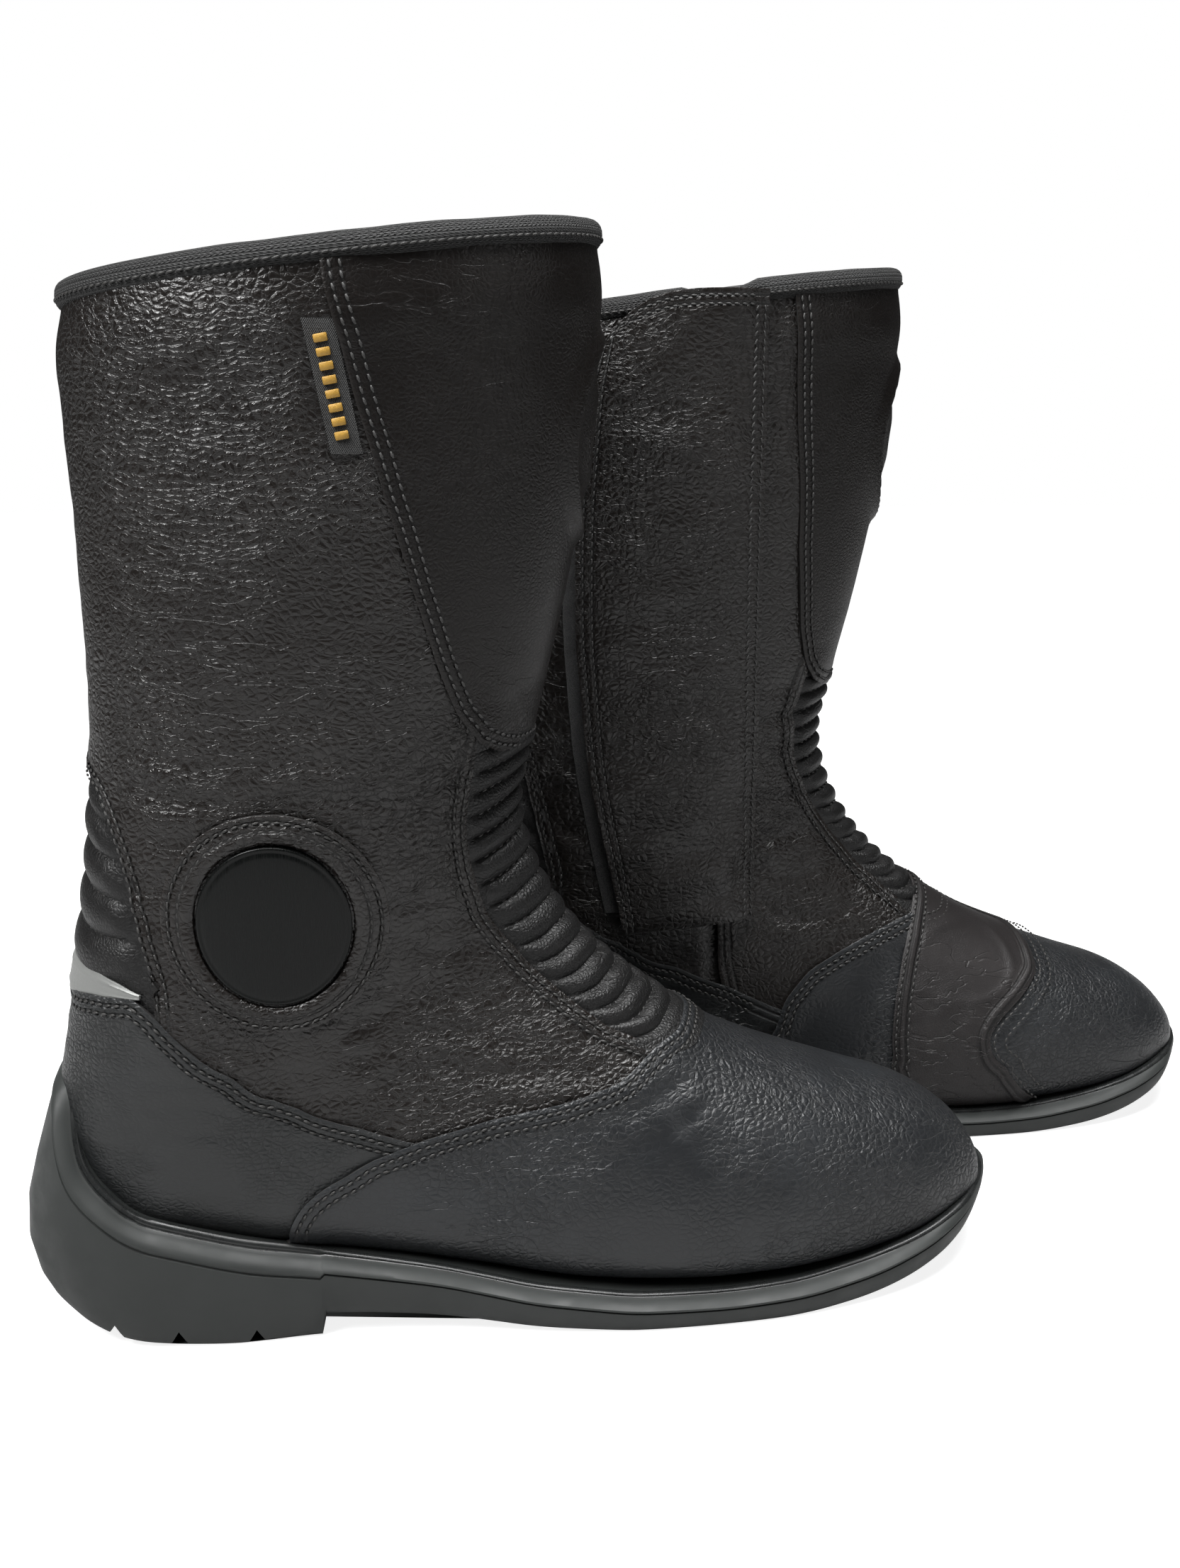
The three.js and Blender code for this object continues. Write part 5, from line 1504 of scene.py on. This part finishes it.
def collar_sewing():
    count = 300
    line = np.stack([np.full(count, COLLAR + 0.045), np.linspace(ZIP_FRONT, ZIP_REAR + 2 * math.pi, count)], 1)
    flat = lambda t, angle: np.full(np.shape(t), 0.4)
    return stitches("collar_stitches", flat, [(line, 0)], (18, 0), pitch=2.5, length=2.3, width=0.75, proud=0.15)


def lining():
    """The sock inside, padded at the top under the binding."""
    t = np.linspace(COLLAR + 0.04, 2.6, 110)
    angle = np.linspace(0, 2 * math.pi, 91)
    grid = np.stack(np.meshgrid(t, angle, indexing="ij"), -1)
    deep = -3.9 - 0.35 * np.exp(-(((grid[..., 0] - 21.2) / 0.5) ** 2))
    points = lay(grid[..., 0], grid[..., 1], deep)
    floor = np.interp(points[..., 0], *np.array(UNDERSIDE).T) + 4.9
    points[..., 2] = np.where(grid[..., 0] < 16, np.maximum(points[..., 2], floor), points[..., 2])
    piece = grid_piece("lining", points, (310, 300), closed=True)
    face_out(piece, coordinates(piece) - coordinates(piece).mean(0))
    painted(piece, LINING_KNIT)
    finished(piece, ("SOLIDIFY", {"thickness": 0.0017, "offset": -1}))
    return smooth(piece, 60)


UNDERSIDE = [
    (-30, 40), (7, 34), (19, 29), (52, 23), (92, 20), (130, 15), (165, 9.5), (196, 7.5), (225, 7.5),
    (252, 8.5), (276, 10.5), (294, 14.5), (304.5, 19), (340, 30),
]
add(collar_binding(), "boot", ["collar_binding"], "knit")
add(collar_sewing(), "boot")
add(lining(), "boot", ["bootie"], "lining")


def soft_copy(node, name, finish, bevel=1.2):
    """A merged copy of a soft CAD solid with its edges rounded off."""
    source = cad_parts["right_" + node]
    piece = bpy.data.objects.new(name, source.data.copy())
    bpy.context.scene.collection.objects.link(piece)
    x, y, _ = PLACE["right"]
    put(piece, coordinates(piece) - np.array((x, y, 0)) / 1000)
    edited(
        piece, lambda: bpy.ops.mesh.remove_doubles(threshold=1e-5),
        lambda: bpy.ops.mesh.dissolve_limited(angle_limit=math.radians(4)),
    )
    finished(
        piece,
        ("BEVEL", {"width": bevel / 1000, "segments": 3, "limit_method": "ANGLE", "angle_limit": math.radians(40)}),
    )
    painted(piece, finish)
    return smooth(piece, 40)


add(soft_copy("footbed", "footbed", FOAM), "boot", ["footbed"], "foam")
add(soft_copy("ankle_pad", "ankle_pad", FOAM, 0.4), "boot", ["ankle_pad"], "foam")

# ---------------------------------------------------------------- the ankle guard
GUARD = (77.0, 132.0)


def egg(wide, tall, phi):
    """An oval that is broader to the upper front and narrower to the lower back."""
    grow = 1 + 0.055 * np.cos(phi - math.radians(38)) - 0.02 * np.cos(2 * (phi - math.radians(38)))
    return np.stack([GUARD[0] + wide * grow * np.cos(phi) - 1.0, GUARD[1] + tall * grow * np.sin(phi) - 0.8], -1)


shaft_lift = Panel(amount=1.0)


def ankle_ring():
    phi = np.linspace(0, 2 * math.pi, 181)
    share = np.array([0, 0.04, 0.1, 0.18, 0.28, 0.4, 0.5, 0.56, 0.6, 0.65, 0.72, 0.78, 0.82, 0.87, 0.93, 1.0])
    inner, outer = egg(22.3, 24.6, phi), egg(32.0, 33.0, phi)
    flat = inner[None] + (outer - inner)[None] * share[:, None, None]
    places = on_side(flat.reshape(-1, 2), OUTER).reshape(len(share), len(phi), 2)
    t, a = places[..., 0], places[..., 1]
    d = (1 - share)[:, None] * 9.3 + 0 * phi[None]
    pad = np.interp(share, [0, 0.06, 0.2, 0.4, 0.6, 1], [0.8, 1.5, 2.1, 2.1, 1.75, 1.45])[:, None]
    lift = pad + 0.45 * shaft_lift(t, a) - 0.2 * bump_at(d, 2.2, 0.5) - 0.2 * bump_at(d, 5.0, 0.5)
    points = lay(t, a, lift)
    piece = grid_piece("ankle_ring", points)
    mark(piece, "edge", d)
    edited(piece, lambda: bpy.ops.mesh.remove_doubles(threshold=2e-5))
    face_out(piece, np.tile((0, -1.0, 0), (len(piece.data.vertices), 1)))
    painted(piece, SHAFT_LEATHER, CUT_EDGE)
    finished(piece, ("SOLIDIFY", {"thickness": 0.0014, "offset": -1, "material_offset_rim": 1}),
             ("BEVEL", {"width": 0.00025, "segments": 2, "limit_method": "ANGLE", "angle_limit": math.radians(60)}))
    smooth(piece, 45)
    runs = []
    for gap in (2.2, 5.0):
        k = 1 - gap / 9.3
        ring = inner + (outer - inner) * k
        gone = np.concatenate([[0], np.cumsum(np.linalg.norm(np.diff(ring, axis=0), axis=1))])
        where = np.arange(0, gone[-1], 2.9)
        pick = lambda w: on_side(
            np.stack([np.interp(w % gone[-1], gone, ring[:, 0]), np.interp(w % gone[-1], gone, ring[:, 1])], 1),
            OUTER,
        )
        at, ahead = pick(where), pick(where + 0.8)
        level = lambda l: 1.72 + 0.45 * shaft_lift(l[:, 0], l[:, 1])
        runs.append((
            lay(at[:, 0], at[:, 1], level(at)),
            lay(ahead[:, 0], ahead[:, 1], level(ahead)),
            outward(at[:, 0], at[:, 1]),
        ))
    return piece, sew("ankle_ring_stitches", runs)


def ankle_disc():
    phi = np.linspace(0, 2 * math.pi, 121)
    share = np.array(
        [0.002, 0.12, 0.25, 0.4, 0.55, 0.7, 0.8, 0.87, 0.91, 0.93, 0.945, 0.96, 0.975, 0.99, 1.0, 1.0, 1.0]
    )
    rise = np.array([2.9, 2.88, 2.84, 2.74, 2.6, 2.4, 2.22, 2.08, 1.95, 1.72, 1.68, 1.85, 1.85, 1.7, 1.4, 0.4, -0.8])
    rim = egg(21.7, 24.0, phi)
    centre = np.array(GUARD)
    flat = centre + (rim - centre)[None] * share[:, None, None]
    places = on_side(flat.reshape(-1, 2), OUTER).reshape(len(share), len(phi), 2)
    points = lay(places[..., 0], places[..., 1], rise[:, None] + 0 * phi[None])
    piece = grid_piece("ankle_disc", points, closed=True)
    capped(piece)
    painted(piece, GUARD_PLASTIC)
    return smooth(piece, 50)


ring_piece, ring_sewing = ankle_ring()
add(ring_piece, "boot", ["ankle_ring"], "grain_leather")
add(ring_sewing, "boot")
add(ankle_disc(), "boot", ["ankle_disc"], "guard_plastic")


# ---------------------------------------------------------------- heel insert and side label
def heel_reflector():
    upper = eased(turned(on_side([(38, 111.2), (32, 113.6), (26, 115.6), (19.5, 116.8)], OUTER)), on_back(117.6),
                  turned(on_side([(19.5, 116.8), (26, 115.6), (32, 113.6), (38, 111.2)], INNER)), ease=3)
    lower = eased(turned(on_side([(38, 109.6), (30, 108.6), (22, 107.2), (17, 106.6)], OUTER)), on_back(105.4),
                  turned(on_side([(17, 106.6), (22, 107.2), (30, 108.6), (38, 109.6)], INNER)), ease=3)
    s, r = np.linspace(0, 1, 110), np.linspace(0, 1, 14)
    left = at_share(np.stack([upper[0], lower[0]]), np.linspace(0, 1, 20))
    right = at_share(np.stack([upper[-1], lower[-1]]), np.linspace(0, 1, 20))
    places = patch(upper, lower, left, right, s, r)
    t, a = places[..., 0], places[..., 1]
    ridge = 1.0 + 0.35 * np.sin(np.pi * r)[:, None] + 0.25 * bump_at(np.abs(r[:, None] - 0.5), 0.28, 0.06)
    return leather("heel_reflector", places, ridge + 0 * t, thick=0.9, materials=(REFLECTIVE, REFLECTIVE), cut=0.2)


def side_label():
    u, v = np.meshgrid(np.linspace(0, 1, 34), np.linspace(0, 1, 12), indexing="ij")
    flat = np.stack([105.8 - 6.4 * u - 8.2 * v, 263.5 + 34 * u], -1)
    places = on_side(flat.reshape(-1, 2), OUTER).reshape(34, 12, 2)
    t, a = places[..., 0], places[..., 1]
    lift = 0.75 + 0.3 * shaft_lift(t, a) + 0.25 * (v > 0.96) + 0.12 * ripple(face(t, a), 9, 31)
    piece = leather(
        "side_label", places, lift, thick=0.5, materials=(LABEL_TWILL, LABEL_TWILL), cut=0, extent=(10, 34),
    )
    bpy.ops.mesh.primitive_cube_add(size=1)
    shape = bpy.context.object
    edited(shape, lambda: bpy.ops.transform.resize(value=(0.0036, 0.0021, 0.0006)),
           lambda: bpy.ops.mesh.subdivide(number_cuts=1))
    finished(shape, ("BEVEL", {"width": 0.00022, "segments": 1}))
    share = (np.arange(8) + 0.5) / 8 * 0.82 + 0.09
    spot = lambda u: on_side(np.stack([105.8 - 6.4 * u - 4.4, 263.5 + 34 * u], 1), OUTER)
    at, ahead = spot(share), spot(share + 0.01)
    height = lambda l: 0.95 + 0.3 * shaft_lift(l[:, 0], l[:, 1]) + 0.12 * ripple(face(l[:, 0], l[:, 1]), 9, 31)
    p, q = lay(at[:, 0], at[:, 1], height(at)), lay(ahead[:, 0], ahead[:, 1], height(ahead))
    way = (q - p) / np.linalg.norm(q - p, axis=1, keepdims=True)
    up = outward(at[:, 0], at[:, 1])
    side = np.cross(way, up)
    side /= np.linalg.norm(side, axis=1, keepdims=True)
    bars = many(
        "label_bars", shape, p, np.stack([side, np.cross(np.cross(side, way), side), np.cross(side, way)], 1),
        GOLD_THREAD,
    )
    bpy.data.objects.remove(shape)
    return piece, bars


add(heel_reflector(), "boot", ["heel_reflector"], "reflective")
label, bars = side_label()
add(label, "boot", ["side_label"], "label")
add(bars, "boot")

# ---------------------------------------------------------------- the zip
zip_top, zip_bottom = (lay(*on_side([p], INNER)[0], 0.0) for p in ((98, 312), (103, 98)))
zip_middle = on_side([(100.5, 205)], INNER)[0]
ALONG = (zip_top - zip_bottom) / np.linalg.norm(zip_top - zip_bottom)
ACROSS = np.cross(ALONG, outward(*zip_middle))
ACROSS /= np.linalg.norm(ACROSS)
OUT = np.cross(ACROSS, ALONG)
ZIP_LONG = np.linalg.norm(zip_top - zip_bottom)


def on_zip(piece):
    """Lays a piece made with X down the zip, Y across and Z outwards (in metres) onto the zip's line."""
    co = coordinates(piece) * 1000
    put(piece, (zip_top + co[:, :1] * -ALONG + co[:, 1:2] * ACROSS + co[:, 2:3] * OUT) / 1000)
    return piece


def block(name, low, high, bevel, finish):
    """A block with rounded edges between two corners in mm."""
    bpy.ops.mesh.primitive_cube_add(size=1)
    piece = bpy.context.object
    piece.name = name
    low, high = np.array(low, float) / 1000, np.array(high, float) / 1000
    put(piece, (low + high) / 2 + coordinates(piece) * (high - low))
    finished(piece, ("BEVEL", {"width": bevel / 1000, "segments": 3}))
    painted(piece, finish)
    return smooth(piece, 40)


def zip_teeth():
    bpy.ops.mesh.primitive_uv_sphere_add(segments=6, ring_count=4, radius=0.5)
    shape = bpy.context.object
    edited(shape, lambda: bpy.ops.transform.resize(value=(0.0033, 0.00105, 0.0017)))
    step = 1.28
    count = int((ZIP_LONG - 2) / step)
    origins, axes = [], []
    for side, shift in ((1, 0.0), (-1, 0.5)):
        at = (np.arange(count) + shift) * step + 0.8
        origins.append(zip_top - at[:, None] * ALONG + side * 1.35 * ACROSS - 0.7 * OUT)
        axes.append(np.repeat(np.stack([ACROSS, -ALONG, OUT])[None], count, 0))
    piece = many("zip_teeth", shape, np.vstack(origins), np.concatenate(axes), COIL)
    bpy.data.objects.remove(shape)
    return piece


def zip_tape(side):
    near, far = (1.0, 13.0) if side > 0 else (-13.0, -1.0)
    u, w = np.meshgrid(np.linspace(0, 1, 110), np.linspace(near, far, 12), indexing="ij")
    x = 98 + 5 * u + w
    z = 312 - 214 * u + (1 - 2 * u) * 1.5
    places = on_side(np.stack([x, z], -1).reshape(-1, 2), INNER).reshape(110, 12, 2)
    t, a = places[..., 0], places[..., 1]
    return leather(
        "zip_tape_front" if side > 0 else "zip_tape_rear", places, 0 * t - 2.15, thick=0.6,
        materials=(TAPE_TWILL, TAPE_TWILL), cut=0, extent=(12, 217),
    )


def zip_slider():
    plate = block("plate", (2, -5, 0.5), (16, 5, 1.5), 0.4, GUNMETAL)
    co = coordinates(plate)
    narrow = np.interp(co[:, 0], [0.004, 0.016], [1.0, 0.78])
    put(plate, co * np.stack([np.ones(len(co)), narrow, np.ones(len(co))], 1))
    wings = [block(
        "wing", (2.4, s * 3.3 if s > 0 else -3.9, -1.2), (15.6, 3.9 if s > 0 else -3.3, 0.9), 0.2, GUNMETAL,
    ) for s in (1, -1)]
    bridge = block("bridge", (4, -1.5, 1.2), (9, 1.5, 2.8), 0.6, GUNMETAL)
    return on_zip(joined("zip_slider", [plate, *wings, bridge]))


def zip_pull():
    tab = block("tab", (3, -3.5, 1.8), (27, 3.5, 2.8), 0.35, GUNMETAL)
    co = coordinates(tab)
    round_end = np.interp(co[:, 0], [0.003, 0.006, 0.022, 0.027], [0.72, 0.85, 1.0, 0.86])
    put(tab, co * np.stack([np.ones(len(co)), round_end, np.ones(len(co))], 1))
    eye = block("eye", (3.7, -1.8, 0.8), (9.3, 1.8, 3.8), 0.6, GUNMETAL)
    slot = block("slot", (18.5, -1.7, 0.8), (23.5, 1.7, 3.8), 0.6, GUNMETAL)
    for cutter in (eye, slot):
        finished(tab, ("BOOLEAN", {"operation": "DIFFERENCE", "object": cutter, "solver": "EXACT"}))
        bpy.data.objects.remove(cutter)
    tab.name = "zip_pull"
    return on_zip(smooth(tab, 35))


add(zip_tape(1), "boot", ["zip_tape"], "tape")
add(zip_tape(-1), "boot", [], "tape")
add(zip_teeth(), "boot", ["zip_chain"], "zip_coil")
add(zip_slider(), "slider", ["zip_slider"], "zip_metal")
add(zip_pull(), "slider", ["zip_pull"], "zip_metal")

# ---------------------------------------------------------------- the flap over the zip
FREE_EDGE = [(90, 68), (118, 62), (150, 56), (199, 52), (244, 52), (285, 55), (317, 59)]
FLAP_LIFT = np.array([0.6, 3, 4.2, 4.2, 4, 3.6, 3.1, 2.7, 2.5])


def flap_flat(u, v):
    z = 90 + 227 * u
    hinge = 119.5 - 5.5 * u
    free = read_off(FREE_EDGE, z, 9)
    corner = 20 * v ** 5 * np.maximum(0, (u - 0.86) / 0.14)
    return np.stack([hinge + (free - hinge) * v, z - corner], -1)


def flap_rise(v):
    return np.mean([np.interp(8 * v + k, np.arange(9), FLAP_LIFT) for k in (-0.5, -0.25, 0, 0.25, 0.5)], 0)


def flap_places(u, v):
    return on_side(flap_flat(u, v).reshape(-1, 2), INNER).reshape(*np.shape(u), 2)


def flap_lift(u, v, places):
    p = face(places[..., 0], places[..., 1])
    edge = np.minimum((1 - v) * 62, (1 - u) * 227)
    soft = (
        0.45 * ripple(p * (1, 1, 1.6), 34, 41)
        + 0.5 * ripple(p * (0.5, 1, 2.2), 26, 43) * np.clip((190 - p[..., 2]) / 60, 0.15, 1)
    )
    sewn = (
        -0.22 * bump_at(edge, 2.2, 0.6) - 0.22 * bump_at(edge, 5.0, 0.6)
        - 0.2 * bump_at(v * 62, 2.2, 0.5) - 0.2 * bump_at(v * 62, 5.0, 0.5)
    )
    return flap_rise(v) + 1.8 + soft * np.clip(v * 5, 0, 1) * np.clip(2.2 - 1.7 * v, 0.3, 1) + sewn, edge


def zip_flap():
    u1 = 1 - stops(227, 2.0, (True, False))
    v1 = stops(62, 1.9)
    u, v = np.meshgrid(np.sort(u1), v1, indexing="ij")
    places = flap_places(u, v)
    lift, edge = flap_lift(u, v, places)
    piece = leather("zip_flap", places, lift, thick=1.7, materials=(SHAFT_LEATHER, SUEDE_EDGE), marks={"edge": edge})
    runs = []

    def run(u, v, u2, v2):
        a, b = flap_places(u, v), flap_places(u2, v2)
        la, lb = flap_lift(u, v, a)[0] + 0.16, flap_lift(u2, v2, b)[0] + 0.16
        runs.append((lay(a[:, 0], a[:, 1], la), lay(b[:, 0], b[:, 1], lb), outward(a[:, 0], a[:, 1])))

    for gap in (2.2, 5.0):
        u = np.arange(3, 221, 2.9) / 227
        run(u, 0 * u + 1 - gap / 62, u + 0.004, 0 * u + 1 - gap / 62)
        v = np.arange(7, 56, 2.9) / 58
        run(0 * v + 1 - gap / 227, v, 0 * v + 1 - gap / 227, v + 0.012)
    for gap, lean in ((2.2, 0.006), (5.0, -0.006)):
        u = np.arange(2, 222, 2.7) / 227
        zig = gap / 62
        run(u, 0 * u + zig - lean, u + 0.008, 0 * u + zig + lean)
    return piece, sew("flap_stitches", runs, GREY_THREAD)


def hook_strip():
    u, v = np.meshgrid(np.linspace(0.06, 0.9, 80), np.linspace(0.78, 0.95, 8), indexing="ij")
    places = flap_places(u, v)
    lift = flap_lift(u, v, places)[0] - 1.85
    return leather("hook_strip", places, lift, thick=0.7, materials=(HOOK_PILE, HOOK_PILE), cut=0.15)


def loop_strip():
    u, w = np.meshgrid(np.linspace(0.03, 0.9, 90), np.linspace(-5, 13, 12), indexing="ij")
    flat = flap_flat(u, 0 * u + 1)
    flat[..., 0] += w
    places = on_side(flat.reshape(-1, 2), INNER).reshape(90, 12, 2)
    t, a = places[..., 0], places[..., 1]
    lift = Panel()(t, a) * 0.9 + 1.1 + 0.15 * ripple(face(t, a), 5, 51)
    return leather("loop_strip", places, lift, thick=0.9, materials=(LOOP_PILE, LOOP_PILE), cut=0.2)


flap_piece, flap_sewing = zip_flap()
add(flap_piece, "flap", ["zip_flap"], "grain_leather")
add(flap_sewing, "flap")
add(hook_strip(), "flap", ["hook_strip"], "tape")
add(loop_strip(), "boot", ["loop_strip"], "tape")


# ---------------------------------------------------------------- the gear-change patch of the left boot
def shift_patch():
    rear = eased(
        np.array([[on_side([(188, 88)], INNER)[0, 0], 0.3]]),
        on_side([(186, 84), (180, 70), (176, 56), (174, 40), (177, 22), (179, 12.5)], INNER), ease=6,
    )
    front = eased(
        np.array([[on_side([(240, 63)], INNER)[0, 0], 0.25]]),
        on_side([(238, 60), (229, 54), (217, 46), (212, 40), (214, 32), (224, 23), (234, 13.5)], INNER), ease=7,
    )
    top = at_share(np.stack([rear[0], front[0]]), np.linspace(0, 1, 60))
    low = eased(rear[-1:], on_side([(196, 11.5), (215, 11.5)], INNER), front[-1:], ease=4)
    places = patch(top, low, rear, front, stops(58, 1.5), stops(95, 1.6, (True, False)))
    t, a = places[..., 0], places[..., 1]
    p = face(t, a)
    edges = [front, rear, top]
    d = np.minimum.reduce([far_from(p, e) for e in edges])
    lift = (
        1.5 + 0.5 * worn_shape(p, 0.7) + 0.9 * bump_at(d, 3.4, 1.9)
        - 0.35 * bump_at(d, 1.2, 0.5) - 0.35 * bump_at(d, 5.8, 0.6) - 0.5 * np.exp(-((d / 0.7) ** 2))
    )
    oval = np.sqrt(((p[..., 0] - 205) / 22) ** 2 + ((p[..., 2] - 66) / 13) ** 2)
    lift = lift + 0.5 * np.exp(-(((oval - 1) / 0.08) ** 2)) * (d > 6)
    piece = leather("shift_patch", places, lift, thick=1.3, materials=(PATCH_LEATHER, CUT_EDGE), marks={"edge": d})
    flat = lambda t, angle: np.full(np.shape(t), 1.55) + 0.35 * worn_shape(face(t, angle), 1.0)
    sewing = stitches(
        "shift_patch_stitches", flat, [(front, 1.2), (front, 5.8), (rear, 1.2), (rear, 5.8), (top, 1.2), (top, 5.8)],
        (6.6, -1.2), pitch=2.7,
    )
    return piece, sewing


LEFT_ONLY = []
patch_piece, patch_sewing = shift_patch()
LEFT_ONLY.append((patch_piece, "boot", ("shift_patch",), "patch_leather"))
LEFT_ONLY.append((patch_sewing, "boot", (), None))

# ---------------------------------------------------------------- both boots
def mirrored_copy(piece, name, side):
    """A copy of a piece laid in the pair's frame, turned inside out again where it is mirrored."""
    x, y, sign = PLACE[side]
    copy = bpy.data.objects.new(name, piece.data.copy())
    copy.data.name = name
    bpy.context.scene.collection.objects.link(copy)
    co = coordinates(copy)
    put(copy, co * (1, sign, 1) + np.array((x, y, 0)) / 1000)
    if sign < 0:
        copy.data.flip_normals()
    return copy


for sides, pieces in ((("right", "left"), BOOT), (("left",), LEFT_ONLY)):
    for piece, body, nodes, slot in pieces:
        for side in sides:
            made = mirrored_copy(piece, f"{side}_{piece.name}_skin", side)
            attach(made, f"{side}_{body}")
            if nodes:
                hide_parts(*[f"{side}_{n}" for n in nodes])
        bpy.data.objects.remove(piece)

for side in ("right", "left"):
    for name, finish in (
        ("insole_board", BOARD), ("shank", STEEL), ("toe_puff", STIFFENER), ("heel_counter", STIFFENER),
        ("shin_guard", STIFFENER),
    ):
        painted(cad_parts[f"{side}_{name}"], finish)

# ---------------------------------------------------------------- floor and light
bpy.ops.mesh.primitive_plane_add(size=12, location=(0, 0, 0))
floor = bpy.context.object
floor.name = "floor"
floor_finish, tree, shader = blank("pale_floor", Roughness=0.9)
shader.inputs["Base Color"].default_value = (0.42, 0.42, 0.42, 1)
shader.inputs["Emission Color"].default_value = (1, 1, 1, 1)
direct = node(tree, "LightPath")
tree.links.new(ranged(tree, direct.outputs["Is Camera Ray"], 0.0, 1.0, 0.0, 0.85), shader.inputs["Emission Strength"])
painted(floor, floor_finish)

world = bpy.data.worlds.new("studio")
bpy.context.scene.world = world
world.use_nodes = True
sky = world.node_tree
sky.nodes.clear()
seen = node(sky, "LightPath")
strength = node(sky, "MapRange", {0: seen.outputs["Is Camera Ray"], 1: 0.0, 2: 1.0, 3: 0.035, 4: 1.0})
backdrop = node(sky, "Background", {"Color": (1, 1, 1, 1), "Strength": strength.outputs[0]})
sky.links.new(backdrop.outputs[0], sky.nodes.new("ShaderNodeOutputWorld").inputs[0])
bpy.context.scene.view_settings.view_transform = "Standard"


def lamp(name, kind, place, aim, energy, **settings):
    data = bpy.data.lights.new(name, kind)
    data.energy = energy
    for key, value in settings.items():
        setattr(data, key, value)
    made = bpy.data.objects.new(name, data)
    bpy.context.scene.collection.objects.link(made)
    made.location = place
    made.rotation_euler = (Vector(aim) - Vector(place)).to_track_quat("-Z", "Y").to_euler()


lamp("daylight", "SUN", (-0.35, -0.4, 2.2), (0, 0, 0), 1.1, angle=math.radians(30))
lamp("key_softbox", "AREA", (-0.95, -0.55, 1.3), (-0.05, 0, 0.2), 27, shape="RECTANGLE", size=0.6, size_y=0.6)
lamp("top_softbox", "AREA", (0.1, -0.15, 1.3), (0, 0, 0.1), 24, shape="RECTANGLE", size=1.0, size_y=0.5)
lamp("fill_softbox", "AREA", (1.0, -0.9, 0.7), (0.1, 0, 0.1), 1.5, shape="RECTANGLE", size=0.5, size_y=0.9)
